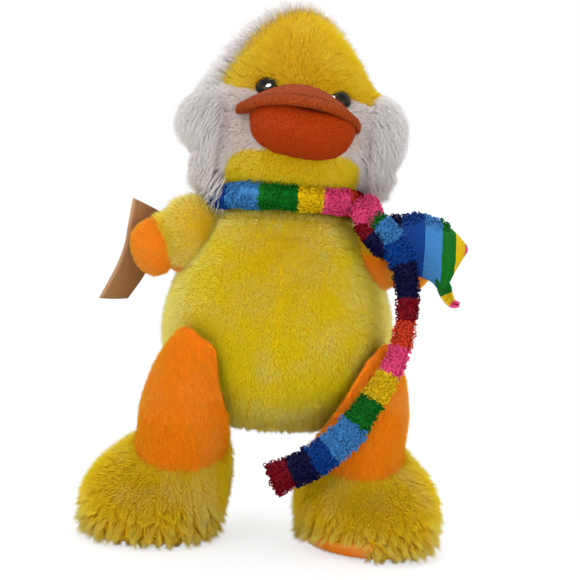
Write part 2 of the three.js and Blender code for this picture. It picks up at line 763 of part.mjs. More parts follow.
// A curled strip: a crescent section swept down the free end's route.
function curledTail() {
  const curve = new THREE.CatmullRomCurve3(tailRoute.map((point) => vector(...point)));
  const steps = 2 * facets.sheetSteps;
  const edge = [-1, -0.55, 0, 0.55, 1];
  return loft(Array.from({ length: steps + 1 }, (_, i) => {
    const centre = curve.getPointAt(i / steps);
    const tangent = curve.getTangentAt(i / steps);
    const across = vector(0, -1, 0).cross(tangent).normalize();
    const out = tangent.clone().cross(across).normalize();
    const widthShare = THREE.MathUtils.lerp(scarf.tailNeckShare, 1, i / steps);
    const place = (share, lift) => centre.clone()
      .addScaledVector(across, share * widthShare * scarf.tailHalfWidth)
      .addScaledVector(out, lift - scarf.tailCurl * share * share);
    return [
      ...edge.map((share) => place(share, scarf.tailThickness / 2)),
      ...[...edge].reverse().map((share) => place(share * 0.9, -scarf.tailThickness / 2)),
    ];
  }));
}

// The flat end: a thin sheet over the wing's top edge and down its front.
function flaredEnd() {
  const { root, along, deep } = wingFrame(1);
  const front = deep.y < 0 ? deep : deep.clone().negate();
  return loft(flareRoute.map(([out, top, bottom, fold]) => {
    const axisShare = (out - root.x) / (along.x * wing.length);
    const axisY = root.y + along.y * wing.length * axisShare;
    const frontY = axisY + front.y * (wing.halfDepth + scarf.flareStandOff);
    const line = [
      vector(out, frontY, bottom),
      vector(out, frontY - scarf.flareThickness, THREE.MathUtils.lerp(bottom, top, 0.4)),
      vector(out, frontY, THREE.MathUtils.lerp(bottom, top, 0.75)),
      vector(out, frontY + fold / 3, THREE.MathUtils.lerp(bottom, top, 0.95)),
      vector(out, frontY + fold, top + scarf.flareThickness),
    ];
    const inward = [
      vector(0, 1, 0), vector(0, 1, 0), vector(0, 1, -0.3), vector(0, 0.7, -0.7), vector(0, 0.2, -1),
    ];
    const back = line.map((point, i) => point.clone()
      .addScaledVector(inward[i].normalize(), scarf.flareThickness));
    return [...line, ...back.reverse()];
  }));
}

const tailObstacles = trunkForm(fit.gap)
  .add(wingForm(1, fit.gap)).add(thighForm(legPlaces.left, fit.gap)).add(footForm(legPlaces.left, fit.gap));
const knotSolid = roomForWing(knot, 1)
  .subtract(trunkForm(fit.gap)).subtract(headRoom)
  .subtract(neckBand(fit.gap));
const tailSolid = curledTail().subtract(tailObstacles);
const flareSolid = flaredEnd().subtract(wingForm(1, fit.gap)).subtract(trunkForm(fit.gap));

// Swing tag, held behind the right hand by its plastic fastener.

function makeTag() {
  const { root, along } = wingFrame(-1);
  const turn = new THREE.Matrix4().makeRotationZ(radians(tag.turn));
  const sideways = LEFT.clone().applyMatrix4(turn);
  const outward = vector(0, 1, 0).applyMatrix4(turn);
  const anchor = root.clone().addScaledVector(along, tag.anchorShare * wing.length);
  const hand = wingForm(-1, fit.gap);
  const cornerReach = [...toGeometry(hand).attributes.position.array]
    .map((value, i, all) => (i % 3 === 0 ? outward.dot(vector(value, all[i + 1], all[i + 2])) : -Infinity));
  const reach = Math.max(...cornerReach) - outward.dot(anchor) + tag.thickness / 2;
  const hole = anchor.clone().addScaledVector(outward, reach);

  const creaseHeight = tag.length * (tag.creaseShare - 1 / 2);
  const bend = Math.tan(radians(tag.creaseAngle)) * (creaseHeight + tag.length / 2);
  const section = (height, offset) => [[-1, -1], [1, -1], [1, 1], [-1, 1]].map(([x, y]) => vector(
    (x * tag.width) / 2, offset + (y * tag.thickness) / 2, height));
  const holeAt = vector(-tag.width / 2 + tag.holeInset, 0, creaseHeight + tag.holeInset);
  const punch = rod(tag.holeRadius, vector(holeAt.x, -tag.holeInset, holeAt.z),
    vector(holeAt.x, tag.holeInset, holeAt.z), facets.roundSides);
  const card = loft([
    section(-tag.length / 2, bend), section(creaseHeight, 0), section(tag.length / 2, 0),
  ]).subtract(punch);
  const place = turn.clone().setPosition(hole)
    .multiply(new THREE.Matrix4().makeRotationY(radians(tag.lean)))
    .multiply(new THREE.Matrix4().makeTranslation(-holeAt.x, -holeAt.y, -holeAt.z));

  const barPlace = hole.clone().addScaledVector(
    outward, tag.thickness / 2 + fit.gap + fastener.barRadius);
  const bar = rod(fastener.barRadius,
    barPlace.clone().addScaledVector(sideways, -fastener.barLength / 2),
    barPlace.clone().addScaledVector(sideways, fastener.barLength / 2));
  const thread = rod(fastener.radius, anchor, barPlace).subtract(hand);
  return { card: moved(card, place), fastener: thread.add(bar), hole, outward };
}

const swingTag = makeTag();

// Assembly.

const duck = new THREE.Group();

function addPiece(name, solid, colour, roughness = 0.95) {
  const material = new THREE.MeshStandardMaterial({ color: colours[colour], roughness, metalness: 0 });
  const mesh = new THREE.Mesh(toGeometry(solid.asOriginal().simplify(fit.sliver)), material);
  mesh.name = name;
  duck.add(mesh);
}

addPiece('body_cover', trunk.subtract(trunkCavity), 'lemon');
addPiece('body_stuffing', trunkStuffing, 'fibre');
addPiece('tail', tailNub, 'lemon');
for (const [name, [solid, colour]] of Object.entries(headPieces)) {
  addPiece(name, moved(solid, headPlace), colour);
}
for (const side of ['right', 'left']) {
  addPiece(`${side}_sleeve`, wings[side].sleeve, 'gold');
  addPiece(`${side}_hand`, wings[side].hand, 'orange');
  addPiece(`${side}_wing_stuffing`, wings[side].stuffing, 'fibre');
  addPiece(`${side}_thigh`, legs[side].thigh, 'orange');
  addPiece(`${side}_foot`, legs[side].foot, 'gold');
  addPiece(`${side}_sole`, legs[side].sole, 'orange');
  addPiece(`${side}_leg_stuffing`, legs[side].stuffing, 'fibre');
}
addPiece('scarf_neck_band', neckScarf, 'green');
addPiece('scarf_knot', knotSolid, 'pink');
addPiece('scarf_hanging_tail', tailSolid, 'red');
addPiece('scarf_flared_end', flareSolid, 'blue');
addPiece('kraft_tag', swingTag.card, 'kraft');
addPiece('tag_fastener', swingTag.fastener, 'clear', 0.4);

// The origin lies under the middle of the duck, on the floor.
const box = new THREE.Box3().setFromObject(duck);
const middle = box.getCenter(vector(0, 0, 0));
for (const piece of duck.children) piece.geometry.translate(-middle.x, -middle.y, -box.min.z);

export default duck;
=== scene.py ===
# %% [markdown]
# # A plush duck with a striped scarf
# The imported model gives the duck's solids, its moving parts and its size. This lesson sews the
# visible duck over them: stuffed skins, pile fur, a felt bill, glossy eyes, a terry scarf and a tag.
# Every length is in metres, and every piece lies in the same frame as the solids.

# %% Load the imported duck
import math
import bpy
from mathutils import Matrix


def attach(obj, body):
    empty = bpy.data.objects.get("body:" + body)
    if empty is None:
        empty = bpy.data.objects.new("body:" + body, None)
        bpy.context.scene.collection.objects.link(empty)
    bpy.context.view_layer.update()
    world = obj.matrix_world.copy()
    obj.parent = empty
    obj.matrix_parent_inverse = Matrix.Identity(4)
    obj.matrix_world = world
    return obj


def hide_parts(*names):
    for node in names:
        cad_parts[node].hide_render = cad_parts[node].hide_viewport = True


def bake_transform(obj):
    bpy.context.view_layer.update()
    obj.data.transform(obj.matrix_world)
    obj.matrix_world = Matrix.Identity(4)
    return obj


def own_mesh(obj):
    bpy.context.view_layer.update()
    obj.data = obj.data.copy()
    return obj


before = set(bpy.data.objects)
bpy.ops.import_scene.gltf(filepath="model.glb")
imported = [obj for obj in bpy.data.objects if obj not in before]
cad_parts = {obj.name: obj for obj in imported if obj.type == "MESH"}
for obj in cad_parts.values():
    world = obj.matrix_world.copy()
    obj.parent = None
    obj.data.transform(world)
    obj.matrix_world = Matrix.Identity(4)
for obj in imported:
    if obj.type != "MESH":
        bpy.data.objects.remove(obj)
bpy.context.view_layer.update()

from types import SimpleNamespace

import bmesh
import bpy
import numpy as np
from mathutils import Matrix, Vector
from mathutils.bvhtree import BVHTree

MM = 0.001
MIDDLE = np.array([2.083, 5.803, 0.0]) * MM   # the duck's own middle line, seen from the origin
scene = bpy.context.scene

# %% [markdown]
# ## Camera
# The duck is seen from the front, level with its chest, through a slightly long lens. The camera
# rolls a little, because the duck in the picture leans to the right.

# %% Camera
CAMERA_PLACE = np.array([8.08, -644.2, 147.0]) * MM
CAMERA_ROLL = math.radians(3.9)
CAMERA_LENS = 67.2
CAMERA_CLIP = (0.05, 20.0)

camera_data = bpy.data.cameras.new("camera")
camera_data.lens = CAMERA_LENS
camera_data.clip_start, camera_data.clip_end = CAMERA_CLIP
camera = bpy.data.objects.new("camera", camera_data)
scene.collection.objects.link(camera)
right = Vector((math.cos(CAMERA_ROLL), 0, math.sin(CAMERA_ROLL)))
above = Vector((-math.sin(CAMERA_ROLL), 0, math.cos(CAMERA_ROLL)))
turn = Matrix((right, above, right.cross(above))).transposed().to_4x4()
camera.matrix_world = Matrix.Translation(CAMERA_PLACE) @ turn
scene.camera = camera
print("camera at", [round(v / MM) for v in CAMERA_PLACE], "mm")

# %% [markdown]
# ## Helpers for meshes
# Numpy reads and writes whole meshes at once, which keeps thousands of points quick.


# %% Mesh helpers
def points_of(mesh):
    flat = np.empty(3 * len(mesh.vertices), np.float32)
    mesh.vertices.foreach_get("co", flat)
    return flat.reshape(-1, 3).astype(float)


def normals_of(mesh):
    flat = np.empty(3 * len(mesh.vertices), np.float32)
    mesh.vertex_normals.foreach_get("vector", flat)
    return flat.reshape(-1, 3).astype(float)


def edges_of(mesh):
    flat = np.empty(2 * len(mesh.edges), np.int32)
    mesh.edges.foreach_get("vertices", flat)
    return flat.reshape(-1, 2)


def set_points(mesh, points):
    mesh.vertices.foreach_set("co", np.ascontiguousarray(points, np.float32).ravel())
    mesh.update()


def store(mesh, name, values, domain="POINT"):
    """Keeps a number, an arrow or a place in a texture map for each point or corner under a name."""
    values = np.asarray(values, np.float32)
    kind, key = "FLOAT", "value"
    if values.ndim == 2:
        kind, key = "FLOAT_VECTOR" if values.shape[1] == 3 else "FLOAT2", "vector"
    mesh.attributes.new(name, kind, domain).data.foreach_set(key, values.ravel())


def values_of(mesh, name):
    values = np.empty(len(mesh.vertices), np.float32)
    mesh.attributes[name].data.foreach_get("value", values)
    return values


def relaxed(values, edges, passes, strength=0.5):
    """Each value moves towards the mean of its neighbours'."""
    values = np.array(values, float)
    counts = np.bincount(edges.ravel(), minlength=len(values)).clip(1)
    for _ in range(passes):
        total = np.zeros_like(values)
        np.add.at(total, edges[:, 0], values[edges[:, 1]])
        np.add.at(total, edges[:, 1], values[edges[:, 0]])
        mean = total / (counts[:, None] if values.ndim == 2 else counts)
        values += strength * (mean - values)
    return values


def new_object(name, mesh):
    piece = bpy.data.objects.new(name, mesh)
    scene.collection.objects.link(piece)
    return piece


def new_mesh(name, points, faces):
    mesh = bpy.data.meshes.new(name)
    mesh.from_pydata([tuple(p) for p in points], [], [tuple(f) for f in faces])
    mesh.shade_smooth()
    mesh.update()
    return mesh


def settled(piece):
    """Turns a piece with modifiers into a plain mesh."""
    shape = bpy.data.meshes.new_from_object(piece.evaluated_get(bpy.context.evaluated_depsgraph_get()))
    piece.modifiers.clear()
    old, piece.data = piece.data, shape
    shape.name = piece.name
    bpy.data.meshes.remove(old)
    return piece


def with_modifier(piece, kind, **settings):
    modifier = piece.modifiers.new(kind.lower(), kind)
    for key, value in settings.items():
        setattr(modifier, key, value)
    return settled(piece)


def unit(arrows):
    return arrows / np.linalg.norm(arrows, axis=-1, keepdims=True).clip(1e-9)


def eased(shares):
    """Shares from 0 to 1 that start and end gently."""
    shares = np.clip(shares, 0, 1)
    return shares * shares * (3 - 2 * shares)


def coming_in(values, amount, start, full):
    """Grows gently from nothing at the start to the whole amount at the full place."""
    return amount * eased((values - start) / (full - start))


def along_surface(arrows, normals):
    """The part of each arrow that lies in the surface."""
    return arrows - normals * (arrows * normals).sum(1, keepdims=True)


# %% [markdown]
# ## Colours and materials
# Colours are written as they look on a screen, from 0 to 255, and turned into light values once.
# Each finish is a small tree of nodes. Numbers that are the same all over a surface sit on the
# shader's own sockets, and only the colour and the bump come from other nodes. Anything made of
# yarn hardly shines, so it has a low specular level.


# %% Material helpers
YARN_SHINE = 0.05


def light(red, green, blue):
    """A screen colour as light values."""
    shares = np.array([red, green, blue]) / 255
    linear = np.where(shares <= 0.04045, shares / 12.92, ((shares + 0.055) / 1.055) ** 2.4)
    return (*linear, 1.0)


def socket(sockets, name):
    return next(s for s in sockets if s.name == name and s.enabled)


def add(tree, kind, inputs=None, **settings):
    """One node, its settings and its inputs: a socket is linked, and anything else is set."""
    node = tree.nodes.new(kind)
    for key, value in settings.items():
        setattr(node, key, value)
    for name, value in (inputs or {}).items():
        target = node.inputs[name] if isinstance(name, int) else socket(node.inputs, name)
        if isinstance(value, bpy.types.NodeSocket):
            tree.links.new(value, target)
        else:
            target.default_value = value
    return node


def out(node, name=None):
    return socket(node.outputs, name) if name else next(s for s in node.outputs if s.enabled)


def ramp(tree, factor, stops, interpolation="LINEAR"):
    node = add(tree, "ShaderNodeValToRGB", {"Fac": factor})
    node.color_ramp.interpolation = interpolation
    elements = node.color_ramp.elements
    while len(elements) < len(stops):
        elements.new(1)
    for element, (place, colour) in zip(elements, stops):
        element.position, element.color = place, colour
    return out(node, "Color")


def mixed(tree, factor, first, second, blend="MIX"):
    """A colour between two others."""
    node = add(tree, "ShaderNodeMix", data_type="RGBA", blend_type=blend)
    for name, value in (("Factor", factor), ("A", first), ("B", second)):
        target = socket(node.inputs, name)
        if isinstance(value, bpy.types.NodeSocket):
            tree.links.new(value, target)
        else:
            target.default_value = value
    return out(node, "Result")


def maths(tree, operation, first, second=0.0):
    return out(add(tree, "ShaderNodeMath", {0: first, 1: second}, operation=operation))


def ranged(tree, value, start, end, low=0.0, high=1.0):
    """A number that goes from low to high while the value goes from start to end."""
    return out(add(tree, "ShaderNodeMapRange", {
        "Value": value, "From Min": start, "From Max": end, "To Min": low, "To Max": high}))


def shaded(tree, colour, shade):
    """A colour made darker or lighter by a number near 1."""
    grey = out(add(tree, "ShaderNodeCombineColor", {"Red": shade, "Green": shade, "Blue": shade}))
    return mixed(tree, 1.0, colour, grey, "MULTIPLY")


def attribute(tree, name, output="Fac"):
    return out(add(tree, "ShaderNodeAttribute", attribute_name=name), output)


def noise(tree, scale, place=None, detail=2.0):
    """Noise on object coordinates. The scale is in ripples for each metre."""
    place = place or out(add(tree, "ShaderNodeTexCoord"), "Object")
    return out(add(tree, "ShaderNodeTexNoise", {"Vector": place, "Scale": scale, "Detail": detail}), "Fac")


def finish(name, **shader):
    """A new material, its tree and its shader, with fixed values on the shader's own sockets."""
    material = bpy.data.materials.new(name)
    material.use_nodes = True
    tree = material.node_tree
    surface = tree.nodes["Principled BSDF"]
    for key, value in shader.items():
        surface.inputs[key.replace("_", " ")].default_value = value
    return material, tree, surface


def bump(tree, surface, height, distance):
    node = add(tree, "ShaderNodeBump", {"Height": height, "Distance": distance, "Strength": 1.0})
    tree.links.new(out(node), surface.inputs["Normal"])


# %% [markdown]
# ## Floor, backdrop and lamps
# A pale floor keeps a soft shadow of the duck, which fades into white around it, and to the camera
# the backdrop is plain white. Three large soft lamps and the room's own light stay at a level at
# which a colour looks about as it is written. A fourth lamp is only there for the glossy eyes, which
# show it as the small bright window that makes them look alive.

# %% Floor and lamps
FLOOR_WIDTH = 8.0
SHADOW_REACH = (0.1, 0.3)   # the shadow starts to fade here, and is gone there
SHADOW_WHITE = 0.7          # how much plain white the floor has under the duck
SKY_LEVEL = 0.88
LAMP_AIM = Vector((0, 0, 0.15))
SPARKLE = "sparkle lamp"    # lights no cloth, and shows as a small window in the eyes
LAMPS = {   # place, size and power
    "window lamp": ((-0.9, -1.3, 1.25), 0.9, 12),
    "fill lamp": ((1.2, -1.2, 0.7), 1.0, 6.4),
    "top lamp": ((0.1, 0.5, 1.6), 0.8, 8.5),
    SPARKLE: ((-0.45, -1.2, 1.85), 0.9, 324),
}


def seen_directly(tree):
    """1 for the camera and for what shows in gloss or glass."""
    path = add(tree, "ShaderNodeLightPath")
    total = path.outputs["Is Camera Ray"]
    for name in ("Is Glossy Ray", "Is Transmission Ray"):
        total = maths(tree, "MAXIMUM", total, path.outputs[name])
    return total


floor_material, tree, surface = finish("pale floor", Base_Color=light(246, 246, 246), Roughness=0.9)
glow = add(tree, "ShaderNodeEmission", {"Color": light(255, 255, 255), "Strength": 1.0})
from_duck = out(add(tree, "ShaderNodeVectorMath", {
    0: out(add(tree, "ShaderNodeTexCoord"), "Object")}, operation="LENGTH"), "Value")
whiteness = ranged(tree, from_duck, *SHADOW_REACH, SHADOW_WHITE, 1.0)
share = maths(tree, "MULTIPLY", seen_directly(tree), whiteness)
blend = add(tree, "ShaderNodeMixShader", {0: share, 1: surface.outputs[0], 2: glow.outputs[0]})
tree.links.new(blend.outputs[0], tree.nodes["Material Output"].inputs["Surface"])

half = FLOOR_WIDTH / 2
floor = new_object("floor", new_mesh(
    "floor", [(-half, -half, 0), (half, -half, 0), (half, half, 0), (-half, half, 0)], [(0, 1, 2, 3)]))
floor.data.materials.append(floor_material)

world = bpy.data.worlds.new("white room")
world.use_nodes = True
scene.world = world
tree = world.node_tree
dim = tree.nodes["Background"]
dim.inputs["Color"].default_value = light(255, 255, 255)
dim.inputs["Strength"].default_value = SKY_LEVEL
white = add(tree, "ShaderNodeBackground", {"Color": light(255, 255, 255), "Strength": 1.0})
blend = add(tree, "ShaderNodeMixShader", {0: seen_directly(tree), 1: dim.outputs[0], 2: white.outputs[0]})
tree.links.new(blend.outputs[0], tree.nodes["World Output"].inputs["Surface"])

for name, (place, size, power) in LAMPS.items():
    lamp = bpy.data.lights.new(name, "AREA")
    lamp.shape, lamp.size, lamp.energy = "DISK", size, power
    holder = bpy.data.objects.new(name, lamp)
    scene.collection.objects.link(holder)
    holder.visible_diffuse = name != SPARKLE
    aim = LAMP_AIM - Vector(place)
    holder.matrix_world = Matrix.Translation(place) @ aim.to_track_quat("-Z", "Y").to_matrix().to_4x4()
scene.view_settings.view_transform = "Standard"
print("lamps:", ", ".join(LAMPS))

# %% [markdown]
# ## The cloths
# A real plush duck is cut from a few pile fabrics, and each fabric has its own pile length and
# colours. The table below is the cutting list: how long each cloth's pile is, how deep the woven
# backing lies under the solid's surface, how far the pile leans, and how many strands of which
# radius grow on it. The yellow ones differ a little, because shade is painted into the same cloth,
# making it deeper where it lies in the head's shade and low on the boots. A strand's colour is
# painted darkest at its root, as the shade deep in the pile, and paler towards its tip, as the light
# that falls on it.


# %% Cutting list
def cloth(number, slot, pile, depth, lean, density, radius, roots, middle, tips, **more):
    """One cut of cloth: lengths in millimetres, and strands on each square millimetre."""
    values = dict(
        number=number, slot=slot, pile=pile * MM, depth=depth * MM, lean=lean, density=density * 1e6,
        radius=radius * MM, roots=light(*roots), middle=light(*middle), tips=light(*tips),
        bends=False, clump=6 * MM, pull=0.12, wild=0.16, spread=0.22, pale=light(250, 228, 124))
    values.update(more)
    return SimpleNamespace(**values)


LEMON = ((246, 201, 0), (255, 221, 4), (255, 231, 30))
# The three deeper yellows below are the body's lemon cloth with shade painted in.
SHADED_YOLK = ((240, 188, 0), (252, 208, 6), (254, 218, 30))
SHADED_GOLD = ((212, 150, 0), (226, 170, 0), (234, 182, 6))
SHADED_BOOT = ((218, 166, 0), (230, 186, 2), (238, 196, 18))
WHITE = ((226, 221, 216), (238, 233, 230), (246, 242, 239))
ORANGE = ((252, 122, 0), (255, 136, 0), (255, 150, 18))
MILK = dict(pale=light(236, 226, 232))

CLOTHS = {
    "lemon_right_panel": cloth(1, "lemon_plush", 5.4, 4, 0.55, 2.7, 0.22, *LEMON),
    "lemon_left_panel": cloth(2, "lemon_plush", 5.4, 4, 0.55, 2.7, 0.22, *LEMON),
    "tail_pile": cloth(3, "lemon_plush", 6, 4, 0.4, 2, 0.2, *LEMON),
    "cap_pile": cloth(
        4, "gold_plush", 5, 3.6, 0.55, 3.6, 0.19, *SHADED_GOLD, clump=5 * MM, pale=light(244, 204, 34)),
    "chin_pile": cloth(5, "gold_plush", 5, 3.6, 0.5, 3.5, 0.19, *SHADED_YOLK, pale=light(252, 216, 60)),
    "nape_pile": cloth(6, "white_plush", 12, 5.5, 0.42, 1.0, 0.22, *WHITE, bends=True, **MILK),
    "cheek_pile": cloth(
        7, "white_plush", 9.5, 5, 0.7, 2.2, 0.2, *WHITE, bends=True, clump=7 * MM, pull=0.07, **MILK),
    "sleeve_pile": cloth(8, "gold_plush", 5.5, 3.5, 0.5, 3.1, 0.19, *SHADED_YOLK),
    "hand_pile": cloth(
        9, "orange_plush", 3, 2, 0.8, 4.4, 0.16, *ORANGE, clump=3 * MM, pale=light(255, 160, 60)),
    "thigh_pile": cloth(
        10, "orange_plush", 3.8, 2.4, 0.85, 3.3, 0.18, *ORANGE, clump=4 * MM, pale=light(255, 158, 52)),
    "boot_pile": cloth(
        11, "gold_plush", 6.2, 4.5, 0.62, 2.6, 0.21, *SHADED_BOOT, clump=7 * MM, spread=0.35,
        pale=light(236, 208, 90)),
    "sole_pile": cloth(12, "orange_plush", 2.2, 1.6, 0.5, 3, 0.15, *ORANGE, clump=3 * MM),
    "face_pile": cloth(13, "white_plush", 6, 4, 0.6, 3.5, 0.19, *WHITE, pale=light(240, 206, 194)),
    "lemon_right_back": cloth(14, "lemon_plush", 5.4, 4, 0.55, 2.2, 0.23, *LEMON),
    "lemon_left_back": cloth(15, "lemon_plush", 5.4, 4, 0.55, 2.2, 0.23, *LEMON),
}
print(len(CLOTHS), "cuts of cloth in", len({c.slot for c in CLOTHS.values()}), "colours")

# %% [markdown]
# ## Stuffed skins
# Each sewn part is one bag: its covers are sewn together and filled with fibre. The bag is made
# from a merged copy of the solids, remeshed into even squares and drawn in by the pile's height.
# Blender's Cloth then blows it up a little, as the filling does, and its move is capped so that it
# stays in the solids' space. The neck, the soles and the hidden roots are held still.

# %% Which solids make each bag, and which cloth covers each solid
BAGS = {
    "body": ({"body_cover": "lemon_left_panel", "tail": "tail_pile"}, ["body_stuffing"]),
    "head": ({
        "head_cap": "cap_pile", "chin_patch": "chin_pile", "head_back": "nape_pile",
        "cheek_left": "cheek_pile", "cheek_right": "cheek_pile"}, ["head_stuffing"]),
    "right_wing": ({"right_sleeve": "sleeve_pile", "right_hand": "hand_pile"}, ["right_wing_stuffing"]),
    "left_wing": ({"left_sleeve": "sleeve_pile", "left_hand": "hand_pile"}, ["left_wing_stuffing"]),
    "right_leg": ({
        "right_thigh": "thigh_pile", "right_foot": "boot_pile", "right_sole": "sole_pile"},
        ["right_leg_stuffing"]),
    "left_leg": ({
        "left_thigh": "thigh_pile", "left_foot": "boot_pile", "left_sole": "sole_pile"},
        ["left_leg_stuffing"]),
}
SKIN_STEP = 4.0 * MM
POUCH_STEP = 2.0 * MM
WELD = 1e-6                        # corners nearer than this are one point
DEPTH_PASSES, SKIN_PASSES = 4, 2   # how often the drawing in, and then the skin, is smoothed
HEAD_TURN = math.radians(6)
CHEEKS_FROM, CHEEKS_LOW, CHEEKS_HIGH = 22 * MM, 203 * MM, 276 * MM   # out from the middle, and heights
HOLLOW_PASSES, HOLLOW_RISE = 90, 1.5
SWELL_CAP = 2.5 * MM
SWELL_PRESSURE = 4.0
SWELL_FRAMES = 20


def merged_copy(name, nodes):
    """One object of several solids' copies, with their loose triangles joined."""
    joined = bmesh.new()
    for node in nodes:
        joined.from_mesh(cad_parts[node].data)
    bmesh.ops.remove_doubles(joined, verts=joined.verts, dist=WELD)
    mesh = bpy.data.meshes.new(name)
    joined.to_mesh(mesh)
    joined.free()
    return new_object(name, mesh)


def surface_tree(nodes):
    joined = bmesh.new()
    for node in nodes:
        joined.from_mesh(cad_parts[node].data)
    tree = BVHTree.FromBMesh(joined)
    joined.free()
    return tree


cover_trees = {
    node: surface_tree([node]) for covers, _ in BAGS.values() for node in covers}
body_trees = {body: surface_tree(covers) for body, (covers, _) in BAGS.items()}


def nearest_cover(points, covers):
    """The nearest cover's number in the list for each point."""
    gaps = np.array([[cover_trees[node].find_nearest(p)[3] for p in points] for node in covers])
    return gaps.argmin(0)


def across_head(points):
    """Distance to the duck's left and back, as its turned head has them."""
    x, y, _ = (points - MIDDLE).T
    return (x * math.cos(HEAD_TURN) + y * math.sin(HEAD_TURN),
            y * math.cos(HEAD_TURN) - x * math.sin(HEAD_TURN))


def filled_hollows(mesh, where, passes):
    """Raises the hollow places of a skin until they are nearly flat, and leaves the round ones."""
    edges = edges_of(mesh)
    for _ in range(passes):
        points, normals = points_of(mesh), normals_of(mesh)
        rise = ((relaxed(points, edges, 1) - points) * normals).sum(1).clip(0) * where
        set_points(mesh, points + HOLLOW_RISE * normals * rise[:, None])


# How far the cheeks' outlines move outwards at each height, for the duck's right and left.
RIGHT_LOBE = np.array([
    [200, 24], [205, 17], [211, 5], [217, -2.5], [228, -7], [233, -5], [240, 0], [250, -1.5],
    [257, -5], [264, -8], [276, -3], [284, 0]]) * MM
LEFT_LOBE = np.array([
    [200, 6], [208, 6.5], [218, 2.5], [225, -1.5], [233, 0], [257, 0], [266, -3.5], [276, -2],
    [284, 0]]) * MM
LOBE_REACH = np.array([34, 62]) * MM   # the move comes in between these distances from the middle


def shaped_lobes(points):
    """Moves the cheeks outwards or inwards, along the turned head's own side to side line."""
    across, _ = across_head(points)
    left_by, right_by = (np.interp(points[:, 2], *lobe.T) for lobe in (LEFT_LOBE, RIGHT_LOBE))
    outward = np.sign(across) * np.where(across > 0, left_by, right_by) * coming_in(
        np.abs(across), 1.0, *LOBE_REACH)
    return points + outward[:, None] * np.array([math.cos(HEAD_TURN), math.sin(HEAD_TURN), 0])


def drawn_in_bag(body):
    """A body's covers as one skin, drawn in by the height of the pile that will grow on it."""
    covers, filling = BAGS[body]
    bag = merged_copy(f"{body}_skin", [*covers, *filling])
    with_modifier(bag, "REMESH", mode="VOXEL", voxel_size=SKIN_STEP)
    points, edges = points_of(bag.data), edges_of(bag.data)
    depths = np.array([CLOTHS[name].depth for name in covers.values()])
    depth = relaxed(depths[nearest_cover(points, list(covers))], edges, DEPTH_PASSES)
    points = relaxed(points - normals_of(bag.data) * depth[:, None], edges, SKIN_PASSES)
    set_points(bag.data, points)
    if body == "head":
        across, _ = across_head(points)
        heights = points[:, 2]
        cheeks = (np.abs(across) > CHEEKS_FROM) & (heights < CHEEKS_HIGH) & (heights > CHEEKS_LOW)
        filled_hollows(bag.data, cheeks, HOLLOW_PASSES)
        set_points(bag.data, shaped_lobes(points_of(bag.data)))
    return bag


bags = {body: drawn_in_bag(body) for body in BAGS}
print({body: len(bag.data.vertices) for body, bag in bags.items()}, "points")

# %% Blow the bags up
HELD = {   # which points of a bag keep still
    "body": lambda p: p[:, 2] > 188 * MM,
    "head": lambda p: p[:, 2] < 212 * MM,
    "right_leg": lambda p: p[:, 2] < 6 * MM,
    "left_leg": lambda p: p[:, 2] < 6 * MM,
    "lower_bill": lambda p: p[:, 1] > -44 * MM,
}


def hold(name, bag):
    points = points_of(bag.data)
    held = HELD[name](points) if name in HELD else np.zeros(len(points), bool)
    group = bag.vertex_groups.new(name="held")
    group.add([int(i) for i in np.flatnonzero(held)], 1.0, "REPLACE")


def add_cloth(bag):
    settings = bag.modifiers.new("cloth", "CLOTH").settings
    settings.use_pressure = True
    settings.uniform_pressure_force = SWELL_PRESSURE
    settings.effector_weights.gravity = 0
    settings.vertex_group_mass = "held"


def blow_up(bags):
    """Runs the cloth simulation on all bags at once, and keeps its move up to the cap."""
    before = {name: points_of(bag.data) for name, bag in bags.items()}
    for name, bag in bags.items():
        hold(name, bag)
        add_cloth(bag)
    scene.frame_start, scene.frame_end = 1, SWELL_FRAMES
    for number in range(1, SWELL_FRAMES + 1):
        scene.frame_set(number)
    for name, bag in bags.items():
        settled(bag)
        move = points_of(bag.data) - before[name]
        length = np.linalg.norm(move, axis=1, keepdims=True).clip(1e-9)
        set_points(bag.data, before[name] + move * np.minimum(1, SWELL_CAP / length))
        print(f"{name} swelled {np.minimum(length, SWELL_CAP).mean() / MM:.2f} mm on average")


def remeshed(name, nodes, step, passes):
    """Solids joined into one form of even squares, a little smoothed."""
    form = merged_copy(name, nodes)
    with_modifier(form, "REMESH", mode="VOXEL", voxel_size=step)
    set_points(form.data, relaxed(points_of(form.data), edges_of(form.data), passes))
    return form


pouch = remeshed("lower_bill_felt", ["lower_bill", "bill_stuffing"], POUCH_STEP, SKIN_PASSES)
blow_up({**bags, "lower_bill": pouch})
for bag in (*bags.values(), pouch):
    bag.vertex_groups.clear()
    with_modifier(bag, "SUBSURF", levels=1, render_levels=1)

# %% [markdown]
# ## How the pile lies
# A comb field is one arrow for each point of a skin. It lies in the surface, and its length says
# how far a strand leans that way. The fields follow the toy: the body's pile hangs a little and
# parts at the middle seam, the head's pile runs away from the bill, the cheeks hang outwards, and
# the tail's pile runs backwards. Where one part rests against another, its pile is short and thin,
# because it is pressed there.

# %% Comb fields
BILL_PLACE = np.array([6, -45, 250]) * MM
HEAD_HANG = np.array([0, 0, -0.4])
SEAM_WIDTH, FRONT_PARTING, BACK_PARTING = 3.5 * MM, 0.5, 0.15
LIES = {   # cloth: how far its pile lies outwards from the middle line, backwards and upwards
    "tail_pile": (0.3, 0.8, -0.6), "chin_pile": (0.55, 0, -1), "cheek_pile": (0.55, 0, -1),
    "sleeve_pile": (1, 0, -0.5), "hand_pile": (1, 0, -0.5),
    "thigh_pile": (0, -0.25, -1), "boot_pile": (0, -0.25, -1), "sole_pile": (0, -0.25, -1),
}
LIES_FROM_BILL = ("cap_pile", "nape_pile", "face_pile")
NECK_PILE_FROM, NECK_PILE_GROWTH = 186 * MM, 1.7   # above this height the body's pile stands up
CHEEK_GROWTH, CHEEK_HANG = 1.1, 216 * MM           # and below this one the cheeks' pile hangs longer
HEM_GROWTH, HEM_HEIGHT = 0.6, 22 * MM   # the boots' pile is longer near the floor


